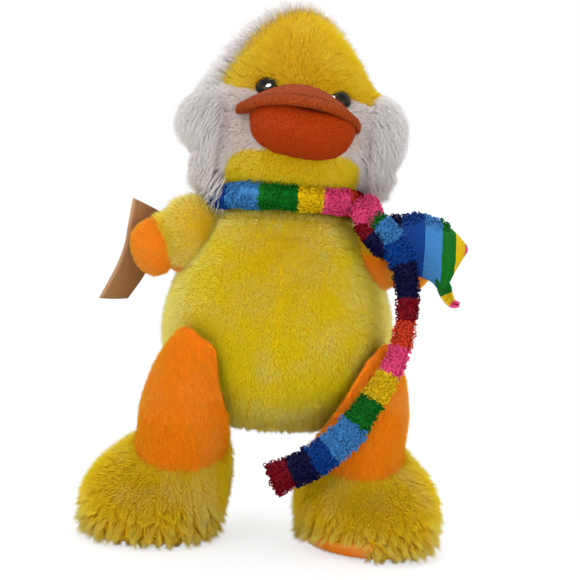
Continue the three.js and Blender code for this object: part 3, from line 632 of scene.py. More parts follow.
def comb_body(points):
    """Hanging pile that parts at the seam in the middle, and stands up at the neck."""
    offset = points[:, :1] - MIDDLE[0]
    depth = np.where(points[:, 1:2] < MIDDLE[1], FRONT_PARTING, BACK_PARTING)
    parting = depth * np.exp(-np.abs(offset) / SEAM_WIDTH) * np.sign(offset)
    hang = np.where(points[:, 2:] > NECK_PILE_FROM, 1, -1)
    return np.hstack([parting, np.zeros((len(points), 1)), hang])


def combed(cloth_name, points):
    """One arrow for each point, before it is laid along the surface."""
    if cloth_name in LIES_FROM_BILL:
        return unit(points - BILL_PLACE) + HEAD_HANG
    if cloth_name in LIES:
        outwards, back, up = LIES[cloth_name]
        side = np.sign(points[:, 0] - MIDDLE[0])
        return np.stack([outwards * side, np.full(len(side), back), np.full(len(side), up)], 1)
    return comb_body(points)


# %% Room beside the other parts
NEIGHBOUR_REACH, NO_NEIGHBOUR = 30 * MM, 1.0
PRESSED_REACH, TOUCHING = 9 * MM, 2.5 * MM
PRESSED_SHARE, LEAST_GAP = 1.3, 1.2 * MM   # pressed pile is a little longer than the gap it lies in
PRESSED_DENSITY = 0.3
TRODDEN_PILE, TRODDEN_LEAN, TRODDEN_DENSITY = 2.4 * MM, 0.96, 0.5   # the pile that the duck stands on
TRODDEN_HEIGHT, TRODDEN_FACING, TRODDEN_LIE = 3 * MM, -0.7, [0.3, 1, 0]


def room_beside(body, points):
    """How far each point is from the nearest other part that moves against it."""
    gaps = np.full(len(points), NO_NEIGHBOUR)
    for other, tree in body_trees.items():
        if other != body:
            found = np.array([tree.find_nearest(p, NEIGHBOUR_REACH)[3] or NO_NEIGHBOUR for p in points])
            gaps = np.minimum(gaps, found)
    return gaps


# %% Borders between the cloths
# Height of the yellow cap's lower edge at each distance from the middle of the face.
CAP_EDGE_RIGHT = np.array([
    [0, 256], [29, 257.5], [33, 258.5], [37, 260], [41, 263], [45, 267], [60, 284]]) * MM
CAP_EDGE_LEFT = np.array([
    [0, 256], [29, 257.5], [33, 256], [38, 254.5], [42, 255.5], [47, 260], [52, 263.5], [56, 268],
    [62, 284]]) * MM
CHIN_PLACE, CHIN_HALF_WIDTH, CHIN_HALF_HEIGHT = 214 * MM, 37 * MM, 12.5 * MM
BACK_SEAM, BACK_SEAM_SLOPE = -14 * MM, 0.26
LOBE_START = 41 * MM
SOLE_ENDS = 62 * MM                                # the left sole shows up to here
RIGHT_SOLE_TOP, LEFT_SOLE_TOP = 3 * MM, 3.6 * MM   # above these heights boot pile hides the soles


def head_cloths(points, numbers):
    """The head's yellow cap and chin patch, and the white plush that surrounds them."""
    across, back = across_head(points)
    z, reach = points[:, 2], np.abs(across)
    left_edge, right_edge = (np.interp(reach, *line.T) for line in (CAP_EDGE_LEFT, CAP_EDGE_RIGHT))
    edge = np.where(across > 0, left_edge, right_edge)
    chin = (reach / CHIN_HALF_WIDTH) ** 4 + np.abs((z - CHIN_PLACE) / CHIN_HALF_HEIGHT) ** 4 < 1
    lobe = (numbers == CLOTHS["cheek_pile"].number) & (reach > LOBE_START)
    behind = back > BACK_SEAM + BACK_SEAM_SLOPE * across
    cloths = np.where(z > edge, CLOTHS["cap_pile"].number, CLOTHS["face_pile"].number)
    cloths = np.where(chin, CLOTHS["chin_pile"].number, cloths)
    cloths = np.where(behind, CLOTHS["nape_pile"].number, cloths)
    return np.where(lobe, CLOTHS["cheek_pile"].number, cloths)


def body_cloths(points, numbers):
    """The body's four panels meet at the middle seams and at the sides."""
    left, back = points[:, 0] > MIDDLE[0], points[:, 1] > MIDDLE[1]
    front = np.where(left, CLOTHS["lemon_left_panel"].number, CLOTHS["lemon_right_panel"].number)
    rear = np.where(left, CLOTHS["lemon_left_back"].number, CLOTHS["lemon_right_back"].number)
    return np.where(numbers == CLOTHS["lemon_left_panel"].number, np.where(back, rear, front), numbers)


def leg_cloths(points, numbers):
    """Boot pile hides the whole rim of the right sole, and the outer part of the left one's."""
    sole, x, z = numbers == CLOTHS["sole_pile"].number, points[:, 0], points[:, 2]
    rim = sole & (((x < MIDDLE[0]) & (z > RIGHT_SOLE_TOP)) | ((x > SOLE_ENDS) & (z > LEFT_SOLE_TOP)))
    return np.where(rim, CLOTHS["boot_pile"].number, numbers)


CUTS = {"head": head_cloths, "body": body_cloths, "right_leg": leg_cloths, "left_leg": leg_cloths}


def cloth_at(body, points):
    """The number of the cloth that covers each point."""
    names = list(BAGS[body][0].values())
    numbers = np.array([CLOTHS[name].number for name in names])[nearest_cover(points, list(BAGS[body][0]))]
    return CUTS[body](points, numbers) if body in CUTS else numbers


# %% Paler and tufted places
# Each one grows to an amount between two places in millimetres, where it starts and where it is full.
LEAST_PALE, MOST_PALE = 0.06, 0.75
# The body's sides, top and bottom are painted paler, as sheen where the pile is seen edge on, and the cap's
# right side is painted lighter, as light.
SHEEN_SIDES, SHEEN_BELOW, SHEEN_ABOVE = (0.5, 38, 68), (0.4, 98, 62), (0.35, 165, 187)
PALE_HEM, LIT_CAP_SIDE, PALE_BY_BILL = (0.4, 24, 0), (0.34, 8, 34), (0.38, 40, 18)
BILL_SHAPE = [0.65, 0.4, 1]   # the bill is broad and deep, so its distance counts less that way
TUFTS_BELOW, TUFTS_AT_HEM = (2.0, 96, 66), (3.0, 30, 6)
EYE_CLEARING, EYE_CLEARING_EDGE = 4.4 * MM, 6.4 * MM


def pale_places(body, points, numbers):
    """Paler at the body's sides, top and bottom, as painted sheen where the pile is seen edge on,
    low on the boots, beside the bill, and on the cap's right side, as painted light.
    """
    x, z = np.abs(points[:, 0] - MIDDLE[0]) / MM, points[:, 2] / MM
    fade = np.full(len(points), LEAST_PALE)
    if body == "body":
        fade = coming_in(x, *SHEEN_SIDES) + coming_in(z, *SHEEN_BELOW) + coming_in(z, *SHEEN_ABOVE)
    boot = numbers == CLOTHS["boot_pile"].number
    fade[boot] = coming_in(z, *PALE_HEM)[boot]
    cap = numbers == CLOTHS["cap_pile"].number
    fade[cap] += coming_in(-across_head(points)[0] / MM, *LIT_CAP_SIDE)[cap]
    face = numbers == CLOTHS["face_pile"].number
    bill_gap = np.linalg.norm((points - BILL_PLACE) / MM * BILL_SHAPE, axis=1)
    fade[face] = coming_in(bill_gap, *PALE_BY_BILL)[face]
    return fade.clip(0, MOST_PALE)


def tufts_at(body, points, numbers):
    """How far the pile draws into tufts: most at the hems of the boots and under the body."""
    z = points[:, 2] / MM
    tufts = np.ones(len(points))
    if body == "body":
        tufts += coming_in(z, *TUFTS_BELOW)
    boot = numbers == CLOTHS["boot_pile"].number
    tufts[boot] += coming_in(z, *TUFTS_AT_HEM)[boot]
    return tufts


def eye_places():
    return [points_of(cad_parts[f"eye_{side}"].data).mean(0) for side in ("left", "right")]


def eye_clearing(points):
    """0 under the eyes, where no pile grows, and 1 elsewhere."""
    gaps = [np.linalg.norm((points - place) * [1, 0.5, 1], axis=1) for place in eye_places()]
    return coming_in(np.min(gaps, axis=0), 1.0, EYE_CLEARING, EYE_CLEARING_EDGE)


# %% Dress the skins
HEAD_BLEND, PLAIN_BLEND = 7, 2   # how often the pile's values are smoothed across the cloths' borders
SHARE_PASSES = 3
HANG_COMES_IN = 12 * MM


def dress(body, skin):
    """Gives a skin its cloths, its pile lengths and its comb field."""
    mesh = skin.data
    points, normals, edges = points_of(mesh), normals_of(mesh), edges_of(mesh)
    numbers = cloth_at(body, points)
    pile, lean, arrows = np.zeros(len(points)), np.zeros(len(points)), np.zeros((len(points), 3))
    for name, cut in CLOTHS.items():
        here = numbers == cut.number
        pile[here], lean[here] = cut.pile, cut.lean
        arrows[here] = combed(name, points[here])
    boot = numbers == CLOTHS["boot_pile"].number
    pile[boot] *= 1 + HEM_GROWTH * np.exp(-(points[boot, 2] / HEM_HEIGHT) ** 2)
    if body == "body":
        pile[points[:, 2] > NECK_PILE_FROM] *= NECK_PILE_GROWTH
    white = np.isin(numbers, [CLOTHS["cheek_pile"].number, CLOTHS["nape_pile"].number])
    if body == "head":
        pile[white] *= 1 + CHEEK_GROWTH * eased((CHEEK_HANG - points[white, 2]) / HANG_COMES_IN)
    clearing = eye_clearing(points) if body == "head" else 1.0
    gaps = room_beside(body, points)
    pressed = gaps < PRESSED_REACH
    room = np.where(pressed, PRESSED_SHARE * gaps.clip(LEAST_GAP), NO_NEIGHBOUR)
    passes = HEAD_BLEND if body == "head" else PLAIN_BLEND
    pile = np.minimum(relaxed(pile, edges, passes), room)
    if body == "head":
        arrows = relaxed(unit(arrows), edges, passes)
    underfoot = (points[:, 2] < TRODDEN_HEIGHT) & (normals[:, 2] < TRODDEN_FACING)
    pile[underfoot] = TRODDEN_PILE
    lean = np.where(underfoot, TRODDEN_LEAN, relaxed(lean, edges, passes))
    arrows[underfoot] = TRODDEN_LIE
    arrows = unit(along_surface(arrows, normals)) * lean[:, None]
    density = np.where(gaps < TOUCHING, PRESSED_DENSITY, 1.0) * clearing
    density *= np.where(underfoot, TRODDEN_DENSITY, 1)
    store(mesh, "pile_length", pile)
    store(mesh, "pile_comb", arrows)
    store(mesh, "pile_density", relaxed(density, edges, 1))
    store(mesh, "pile_fade", pale_places(body, points, numbers))
    store(mesh, "pile_tuft", tufts_at(body, points, numbers))
    return lay_cloths(mesh, numbers)


def lay_cloths(mesh, numbers):
    """Keeps each cloth's share at each point, so that the border between two cloths is smooth."""
    edges, colour = edges_of(mesh), np.zeros((len(numbers), 3))
    counts = {}
    for name, cut in CLOTHS.items():
        if (numbers == cut.number).any():
            share = relaxed(numbers == cut.number, edges, SHARE_PASSES)
            store(mesh, f"worn_{name}", share)
            colour += share[:, None] * np.array(cut.middle[:3])
            counts[name] = int((numbers == cut.number).sum())
    store(mesh, "cloth_colour", colour)
    return counts


worn_cloths = {body: dress(body, skin) for body, skin in bags.items()}
for body, counts in worn_cloths.items():
    print(body, "points by cloth:", counts)


# %% [markdown]
# ## The backing and the pile's colours
# Under the pile lies a woven backing in the pile's own colour, so that no gap between strands
# stands out. A strand's colour runs from root to tip. Broad soft patches of pile are paler, as where
# a hand has stroked it the other way, and each strand's tone differs a little from its neighbour's.


# %% Cloth materials
BACKING_MOTTLE, BACKING_WEAVE, WEAVE_HEIGHT = 900, 1400, 0.8 * MM   # ripples for each metre
BACKING_TONES, STRAND_TONES = (0.86, 1.04), (0.94, 1.03)
STRAND_GLOW = 0.15 * MM       # how far light travels inside the strands
STRAND_MIDDLE = 0.45          # where along a strand its middle colour lies
PATCH_SCALE, PATCH_EDGES, PATCH_PALENESS = 42, (0.48, 0.74), 0.5


def backing_finish():
    material, tree, surface = finish("woven backing", Roughness=0.95, Specular_IOR_Level=YARN_SHINE)
    shade = ranged(tree, noise(tree, BACKING_MOTTLE, detail=3), 0.0, 1.0, *BACKING_TONES)
    colour = shaded(tree, attribute(tree, "cloth_colour", "Color"), shade)
    tree.links.new(colour, surface.inputs["Base Color"])
    bump(tree, surface, noise(tree, BACKING_WEAVE, detail=3), WEAVE_HEIGHT)
    return material


def pile_finish(name, cut):
    material, tree, surface = finish(
        f"{name} strands", Roughness=0.9, Specular_IOR_Level=YARN_SHINE, Subsurface_Weight=1.0,
        Subsurface_Radius=(1, 1, 1), Subsurface_Scale=STRAND_GLOW)
    along = attribute(tree, "strand_share")
    # Dark roots are painted shade deep in the pile, and pale tips are painted light falling on them.
    colour = ramp(tree, along, [(0.0, cut.roots), (STRAND_MIDDLE, cut.middle), (1.0, cut.tips)])
    patches = noise(tree, PATCH_SCALE, attribute(tree, "root", "Vector"), detail=3)
    patches = ranged(tree, patches, *PATCH_EDGES, 0.0, PATCH_PALENESS)
    # The pile is also paler where the skin says so: painted sheen at the body's outline, and painted light on
    # the cap's right side.
    paler = maths(tree, "ADD", patches, attribute(tree, "fade"))
    colour = mixed(tree, paler, colour, cut.pale)
    tone = ranged(tree, attribute(tree, "tone"), 0.0, 1.0, *STRAND_TONES)
    tree.links.new(shaded(tree, colour, tone), surface.inputs["Base Color"])
    return material


backing = backing_finish()
piles = {name: pile_finish(name, cut) for name, cut in CLOTHS.items()}
for skin in bags.values():
    skin.data.materials.append(backing)
    skin.data.shade_smooth()
print("one backing and", len(piles), "piles")

# %% [markdown]
# ## One strand
# A strand is a thin spike with three sides. Short pile needs no joint in it, and long pile has one,
# so that it can bend. Its sides are laid out in columns, so that each strand can have a cell of its
# own in the pile's texture map, with the root at the bottom and the tip at the top.


# %% Strand templates
STRAND_TAPER = 0.6
SIDE_WIDTH = 0.3                                   # of the strand's cell, with a gap beside it
ROOT_CAP_SPOTS = [(0.94, 0), (1, 0), (0.97, 0.06)]


def strand(name, joints):
    """A closed spike: rings of three corners, a tip, and a cap over the root."""
    shares = [ring / (joints + 1) for ring in range(joints + 1)]
    angles = [math.tau * k / 3 for k in range(3)]
    points = [(0, 0, s) for s in shares for _ in angles] + [(0, 0, 1)]
    swell = [(1 - s) ** STRAND_TAPER for s in shares for _ in angles] + [0]
    sides = [(math.cos(a), math.sin(a), 0) for _ in shares for a in angles] + [(0, 0, 0)]
    faces, spots = [], []
    for k in range(3):
        turn = (k + 1) % 3
        left, width = k / 3, SIDE_WIDTH
        for ring in range(joints):
            low, high = 3 * ring, 3 * ring + 3
            faces.append((low + k, low + turn, high + turn, high + k))
            spots += [(left, shares[ring]), (left + width, shares[ring]),
                      (left + width, shares[ring + 1]), (left, shares[ring + 1])]
        top = 3 * joints
        faces.append((top + k, top + turn, len(points) - 1))
        spots += [(left, shares[-1]), (left + width, shares[-1]), (left + width / 2, 1)]
    faces.append((2, 1, 0))
    spots += ROOT_CAP_SPOTS
    mesh = new_mesh(name, points, faces)
    store(mesh, "strand_share", [p[2] for p in points])
    store(mesh, "strand_side", np.array(sides) * np.array(swell)[:, None])
    store(mesh, "strand_spot", np.array(spots), "CORNER")
    return new_object(name, mesh)


straight_strand, bending_strand = strand("straight strand", 0), strand("bending strand", 1)
print("faces in a strand:", len(straight_strand.data.polygons), "or", len(bending_strand.data.polygons))

# %% [markdown]
# ## Pile by Geometry Nodes
# Pile could be combed by hand as hair curves, but the finished duck has to be plain meshes that
# rest on their skins. So one tree of nodes scatters points over a skin, works out for each point
# where its strand's tip lies, puts a strand on it and bends the strand there. The tip follows the
# comb field, leans towards the middle of its tuft, and has some disorder of its own. The points keep
# a least distance, as the rows of a woven pile do, so that they leave no bare spots between them.


# %% Helpers for the trees
def vectors(tree, operation, first, second=None):
    inputs = {0: first}
    if second is not None:
        inputs[3 if operation == "SCALE" else 1] = second
    return out(add(tree, "ShaderNodeVectorMath", inputs, operation=operation))


def named(tree, name, kind="FLOAT"):
    return out(add(tree, "GeometryNodeInputNamedAttribute", {"Name": name}, data_type=kind))


def keep(tree, geometry, name, value, kind="FLOAT", domain="POINT"):
    node = add(tree, "GeometryNodeStoreNamedAttribute", {
        "Geometry": geometry, "Name": name, "Value": value}, data_type=kind, domain=domain)
    return out(node)


def random_number(tree, low, high, seed):
    return out(add(
        tree, "FunctionNodeRandomValue", {"Min": low, "Max": high, "Seed": seed}, data_type="FLOAT"))


def random_arrow(tree, seed):
    return out(add(tree, "FunctionNodeRandomValue", {
        "Min": (-1, -1, -1), "Max": (1, 1, 1), "Seed": seed}, data_type="FLOAT_VECTOR"))


def new_tree(name, sockets):
    tree = bpy.data.node_groups.new(name, "GeometryNodeTree")
    tree.interface.new_socket("Geometry", in_out="OUTPUT", socket_type="NodeSocketGeometry")
    tree.interface.new_socket("Geometry", in_out="INPUT", socket_type="NodeSocketGeometry")
    for label, kind in sockets.items():
        tree.interface.new_socket(label, in_out="INPUT", socket_type=f"NodeSocket{kind}")
    start = tree.nodes.new("NodeGroupInput")
    return tree, {s.name: s for s in start.outputs if s.name}


def end_tree(tree, geometry, material):
    """Every tree ends with smooth faces and its finish, as plain geometry."""
    geometry = out(add(tree, "GeometryNodeSetShadeSmooth", {"Geometry": geometry}))
    geometry = out(add(tree, "GeometryNodeSetMaterial", {"Geometry": geometry, "Material": material}))
    last = tree.nodes.new("NodeGroupOutput")
    tree.links.new(geometry, last.inputs["Geometry"])


def grown(name, carrier_mesh, tree, values):
    """Runs a tree on a mesh and keeps what comes out as a plain mesh."""
    carrier = new_object(name, carrier_mesh)
    modifier = carrier.modifiers.new("nodes", "NODES")
    modifier.node_group = tree
    for item in tree.interface.items_tree:
        if item.in_out == "INPUT" and item.name in values:
            modifier[item.identifier] = values[item.name]
    carrier.update_tag()
    shape = bpy.data.meshes.new_from_object(
        carrier.evaluated_get(bpy.context.evaluated_depsgraph_get()))
    bpy.data.objects.remove(carrier)
    return new_object(name, shape)


CELL_SHARE = 0.92   # how much of its cell a strand or loop fills in the texture map


def cell_map(tree, geometry, points):
    """Lays each strand or loop out in a cell of its own in the piece's texture map."""
    size = add(tree, "GeometryNodeAttributeDomainSize", {"Geometry": points}, component="POINTCLOUD")
    columns = maths(tree, "CEIL", maths(tree, "SQRT", out(size, "Point Count")))
    cell = named(tree, "cell", "INT")
    row = maths(tree, "FLOOR", maths(tree, "DIVIDE", cell, columns))
    corner = add(tree, "ShaderNodeCombineXYZ", {"X": maths(tree, "MODULO", cell, columns), "Y": row})
    spot = vectors(tree, "SCALE", named(tree, "strand_spot", "FLOAT_VECTOR"), CELL_SHARE)
    spot = vectors(tree, "ADD", out(corner), spot)
    spot = vectors(tree, "SCALE", spot, maths(tree, "DIVIDE", 1.0, columns))
    return keep(tree, geometry, "OFBake", spot, "FLOAT2", "CORNER")


def without(tree, geometry, names):
    """Drops working values. A star stands for any ending of a name."""
    for name in names:
        geometry = out(add(
            tree, "GeometryNodeRemoveAttribute", {"Geometry": geometry, "Name": name},
            pattern_mode="WILDCARD"))
    return geometry


# %% The pile tree
SPACING_SHARE = 0.71   # the least gap between strands, as a share of their even spacing
SCATTER_SHARE = 2.0    # how many more points are tried than strands are wanted
BORDER_MARGIN = 0.01   # points are scattered a little past a cloth's border, and cut at its middle
LEAST_UPRIGHT = 0.05   # even flat pile rises a little
SHORTEST, LONGEST = -1.0, 0.6   # a strand's length varies between these shares of its spread
TUFT_LEAN = 2.0        # how strongly a strand leans to the middle of its tuft
STRAND_BOW = 1.1       # how much a strand arches along the normal on its way to its tip
ROOT_SINK, FLOOR_GAP, ANYWHERE = 0.4 * MM, 0.2 * MM, -9.0   # into the backing, over the floor

pile_tree, given = new_tree("pile", {
    "Strand": "Object", "Worn here": "String", "Density": "Float", "Seed": "Int", "Strand radius": "Float",
    "Length spread": "Float", "Tuft size": "Float", "Tuft pull": "Float", "Disorder": "Float",
    "Droop": "Float", "Finish": "Material"})
t = pile_tree
worn = named(t, given["Worn here"])
# More points than are wanted are scattered, and those too near another one are dropped.
spacing = maths(t, "DIVIDE", SPACING_SHARE, maths(t, "SQRT", given["Density"]))
near_cloth = maths(t, "GREATER_THAN", worn, BORDER_MARGIN)
scatter = add(t, "GeometryNodeDistributePointsOnFaces", {
    "Mesh": given["Geometry"], "Selection": near_cloth, "Seed": given["Seed"],
    "Distance Min": spacing, "Density Max": maths(t, "MULTIPLY", given["Density"], SCATTER_SHARE),
    "Density Factor": named(t, "pile_density")}, distribute_method="POISSON")
place = out(add(t, "GeometryNodeInputPosition"))
scattered = keep(t, out(scatter, "Points"), "root_normal", out(scatter, "Normal"), "FLOAT_VECTOR")
points = out(add(t, "GeometryNodeDeleteGeometry", {
    "Geometry": scattered, "Selection": maths(t, "LESS_THAN", worn, 0.5)}))
points = keep(t, points, "root", place, "FLOAT_VECTOR")
points = keep(t, points, "tone", random_number(t, 0.0, 1.0, 3))
points = keep(t, points, "fade", named(t, "pile_fade"))
points = keep(t, points, "cell", out(add(t, "GeometryNodeInputIndex")), "INT")

root, normal = named(t, "root", "FLOAT_VECTOR"), named(t, "root_normal", "FLOAT_VECTOR")
comb = named(t, "pile_comb", "FLOAT_VECTOR")
upright = maths(t, "SQRT", maths(t, "MAXIMUM", maths(
    t, "SUBTRACT", 1.0, vectors(t, "DOT_PRODUCT", comb, comb)), LEAST_UPRIGHT))
aim = vectors(t, "ADD", vectors(t, "SCALE", normal, upright), comb)
aim = vectors(t, "ADD", aim, vectors(t, "SCALE", random_arrow(t, 5), given["Disorder"]))
length = maths(t, "MULTIPLY", named(t, "pile_length"), maths(t, "ADD", 1.0, maths(
    t, "MULTIPLY", given["Length spread"], random_number(t, SHORTEST, LONGEST, 7))))
tufts = add(t, "ShaderNodeTexVoronoi", {
    "Vector": root, "Scale": maths(t, "DIVIDE", 1.0, given["Tuft size"])})
pull = vectors(t, "SUBTRACT", out(tufts, "Position"), root)
pull = vectors(t, "SUBTRACT", pull, vectors(t, "SCALE", normal, vectors(t, "DOT_PRODUCT", pull, normal)))
pull = vectors(t, "SCALE", pull, maths(t, "DIVIDE", maths(
    t, "MULTIPLY", given["Tuft pull"], named(t, "pile_tuft")), given["Tuft size"]))
aim = vectors(t, "ADD", aim, vectors(t, "SCALE", pull, TUFT_LEAN))
points = keep(t, points, "tip", vectors(
    t, "SCALE", vectors(t, "NORMALIZE", aim), length), "FLOAT_VECTOR")
points = keep(t, points, "side", vectors(t, "NORMALIZE", random_arrow(t, 11)), "FLOAT_VECTOR")

template = out(add(t, "GeometryNodeObjectInfo", {"Object": given["Strand"]}), "Geometry")
strands = out(add(t, "GeometryNodeInstanceOnPoints", {"Points": points, "Instance": template}))
strands = out(add(t, "GeometryNodeRealizeInstances", {"Geometry": strands}))
share, tip = named(t, "strand_share"), named(t, "tip", "FLOAT_VECTOR")
first_side = vectors(t, "NORMALIZE", vectors(t, "CROSS_PRODUCT", tip, named(t, "side", "FLOAT_VECTOR")))
second_side = vectors(t, "NORMALIZE", vectors(t, "CROSS_PRODUCT", tip, first_side))
offsets = add(t, "ShaderNodeSeparateXYZ", {"Vector": named(t, "strand_side", "FLOAT_VECTOR")})
girth = vectors(t, "ADD", vectors(t, "SCALE", first_side, out(offsets, "X")),
                vectors(t, "SCALE", second_side, out(offsets, "Y")))
girth = vectors(t, "SCALE", girth, given["Strand radius"])
# The strand starts along the normal and ends at its tip, sagging by the droop on its way.
bow = maths(t, "MULTIPLY", share, maths(t, "SUBTRACT", 1.0, share))
bow = maths(t, "MULTIPLY", bow, STRAND_BOW)
rise = vectors(t, "SCALE", normal, maths(t, "MULTIPLY", bow, vectors(t, "LENGTH", tip)))
sag = add(t, "ShaderNodeCombineXYZ", {"Z": maths(t, "MULTIPLY", maths(
    t, "MULTIPLY", share, share), maths(t, "MULTIPLY", given["Droop"], -1.0))})
spine = vectors(t, "ADD", vectors(t, "SCALE", tip, share), vectors(t, "ADD", rise, out(sag)))
spine = vectors(t, "ADD", spine, vectors(t, "SCALE", normal, -ROOT_SINK))
shaped = vectors(t, "ADD", vectors(t, "ADD", root, spine), girth)
above_floor = vectors(t, "MAXIMUM", shaped, (ANYWHERE, ANYWHERE, FLOOR_GAP))
strands = out(add(t, "GeometryNodeSetPosition", {"Geometry": strands, "Position": above_floor}))

strands = without(t, cell_map(t, strands, points), (
    "root_normal", "tip", "side", "cell", "strand_side", "strand_spot", "pile_*", "worn_*", "cloth_colour"))
end_tree(t, strands, given["Finish"])
print("the pile tree has", len(t.nodes), "nodes")

# %% Grow the pile on every skin
LONG_PILE_DROOP = 2 * MM


def grow_pile(name, mesh, cloth_name):
    cut = CLOTHS[cloth_name]
    fur = grown(name, mesh, pile_tree, {
        "Strand": bending_strand if cut.bends else straight_strand, "Worn here": f"worn_{cloth_name}",
        "Density": cut.density, "Seed": cut.number, "Strand radius": cut.radius,
        "Length spread": cut.spread, "Tuft size": cut.clump, "Tuft pull": cut.pull,
        "Disorder": cut.wild, "Droop": LONG_PILE_DROOP if cut.bends else 0.0, "Finish": piles[cloth_name]})
    print(f"{fur.name}: {len(fur.data.polygons)} faces")
    return fur


for body, skin in bags.items():
    for cloth_name in worn_cloths[body]:
        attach(grow_pile(f"{body}_{cloth_name}", skin.data, cloth_name), body)
    covers, filling = BAGS[body]
    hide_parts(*covers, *filling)
    CLOTHS[max(worn_cloths[body], key=worn_cloths[body].get)].slot
    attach(skin, body)

# %% [markdown]
# ## Shoulders
# On the real duck each wing is sewn to the body, and the cloth gathers in a soft pad at the seam.
# Here the wing and the body are separate skins with a little air between them, so a padded form
# fills the shoulder. Its pile grows only where it shows.

# %% Shoulders
SHOULDERS = {   # wing: middle, half sizes, height below which the cloth is orange, blend from and to
    "right_wing": ([-53, -4, 175], [17, 15, 22], 158, [-42, -4, 178], [-64, -6, 172]),
    "left_wing": ([57, -5, 169], [16, 14, 19], 171, [46, -4, 178], [68, -6, 170]),
}
SHOULDER_RINGS, SHOULDER_SIDES = 22, 40
SHOULDER_PILE_LOW, SHOULDER_PILE_HIGH = 3.0 * MM, 5.5 * MM   # orange cloth, and yellow
SHOULDER_LEAN, SHOULDER_PALING, HIDDEN_DEPTH = 0.5, 0.25, 3 * MM


def inside(points, tree, depth):
    """Which points lie deeper than this in a solid."""
    deep = []
    for point in points:
        place, normal, _, _ = tree.find_nearest(point)
        deep.append((Vector(point) - place).dot(normal) < -depth)
    return np.array(deep)


def rounded_form(name, middle, half_sizes):
    """A closed round form of even rings, with the poles at its top and bottom."""
    points, faces = [[0, 0, 1]], []
    for ring in range(1, SHOULDER_RINGS):
        angle = math.pi * ring / SHOULDER_RINGS
        for k in range(SHOULDER_SIDES):
            turn = math.tau * k / SHOULDER_SIDES
            points.append([
                math.sin(angle) * math.cos(turn), math.sin(angle) * math.sin(turn), math.cos(angle)])
    points.append([0, 0, -1])
    last = len(points) - 1
    for k in range(SHOULDER_SIDES):
        nearby = (k + 1) % SHOULDER_SIDES
        faces.append((0, 1 + k, 1 + nearby))
        for ring in range(SHOULDER_RINGS - 2):
            low = 1 + ring * SHOULDER_SIDES
            high = low + SHOULDER_SIDES
            faces.append((low + k, high + k, high + nearby, low + nearby))
        faces.append((last - SHOULDER_SIDES + k, last, last - SHOULDER_SIDES + nearby))
    places = np.array(points) * half_sizes + middle
    return new_object(name, new_mesh(name, places, faces))


for wing, (middle, half_sizes, orange_below, start, end) in SHOULDERS.items():
    pad = rounded_form(f"{wing}_shoulder", np.array(middle) * MM, np.array(half_sizes) * MM)
    mesh = pad.data
    points, normals = points_of(mesh), normals_of(mesh)
    low = points[:, 2] < orange_below * MM
    in_body, in_wing = (inside(points, body_trees[part], HIDDEN_DEPTH) for part in ("body", wing))
    hidden = in_body | in_wing
    store(mesh, "pile_length", np.where(low, SHOULDER_PILE_LOW, SHOULDER_PILE_HIGH))
    store(mesh, "pile_comb", SHOULDER_LEAN * unit(along_surface(combed("sleeve_pile", points), normals)))
    store(mesh, "pile_density", 1.0 - hidden)
    store(mesh, "pile_tuft", np.ones(len(points)))
    store(mesh, "pile_fade", np.full(len(points), SHOULDER_PALING))
    counts = lay_cloths(mesh, np.where(low, CLOTHS["hand_pile"].number, CLOTHS["sleeve_pile"].number))
    mesh.materials.append(backing)
    for piece in [grow_pile(f"{wing}_shoulder_{name}", mesh, name) for name in counts] + [pad]:
        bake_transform(piece)

# %% [markdown]
# ## Bill
# The bill is orange-brown felt. The upper half is stiff, with a thick rolled rim and a stitched
# groove behind it, and the lower half is a padded pouch. Both are remeshed copies of the solids, so
# that their facets round off, and the pouch was blown up with the bags. Felt has short fibres that
# lie every way, so the pile tree grows a very short, disordered fuzz over both halves.

# %% Felt
FELTS = {
    "upper_bill": SimpleNamespace(dark=light(104, 36, 4), base=light(142, 56, 16), light=light(186, 90, 46)),
    "lower_bill": SimpleNamespace(dark=light(124, 34, 0), base=light(156, 52, 6), light=light(188, 78, 28)),
}
# Painted shade: the felt is darkened in the stitched groove and towards the bill's lower edge.
PAINTED_GROOVE_SHADE = light(70, 22, 4)
SHADE_FROM, SHADE_TO, SHADE_DEPTH = 224 * MM, 252 * MM, 0.3   # heights between which the felt darkens
FELT_GRAIN, GRAIN_HEIGHT = 1300, 0.45 * MM
BILL_STEP, BILL_PASSES = 1.2 * MM, 4
FUZZ_DENSITY, FUZZ_LENGTH = 1.8, 1.3 * MM   # strands for each square millimetre


def felt_finish(name, felt):
    """Mottled felt, with painted shade towards its lower edge and in the stitched groove."""
    material, tree, surface = finish(name, Roughness=0.95, Specular_IOR_Level=YARN_SHINE)
    mottle = noise(tree, FELT_GRAIN, detail=5)
    colour = ramp(tree, mottle, [(0.28, felt.dark), (0.5, felt.base), (0.8, felt.light)])
    height = out(add(tree, "ShaderNodeSeparateXYZ", {
        0: out(add(tree, "ShaderNodeTexCoord"), "Object")}), "Z")
    low = ranged(tree, height, SHADE_FROM, SHADE_TO, SHADE_DEPTH, 0.0)
    colour = mixed(tree, low, colour, felt.dark)
    colour = mixed(tree, attribute(tree, "groove"), colour, PAINTED_GROOVE_SHADE)
    tree.links.new(colour, surface.inputs["Base Color"])
    bump(tree, surface, mottle, GRAIN_HEIGHT)
    return material


def fuzz_finish(name, felt):
    material, tree, surface = finish(name, Roughness=0.9, Specular_IOR_Level=YARN_SHINE)
    colour = ramp(tree, attribute(tree, "strand_share"), [(0, felt.base), (1, felt.light)])
    tree.links.new(mixed(tree, attribute(tree, "tone"), colour, felt.base), surface.inputs["Base Color"])
    return material


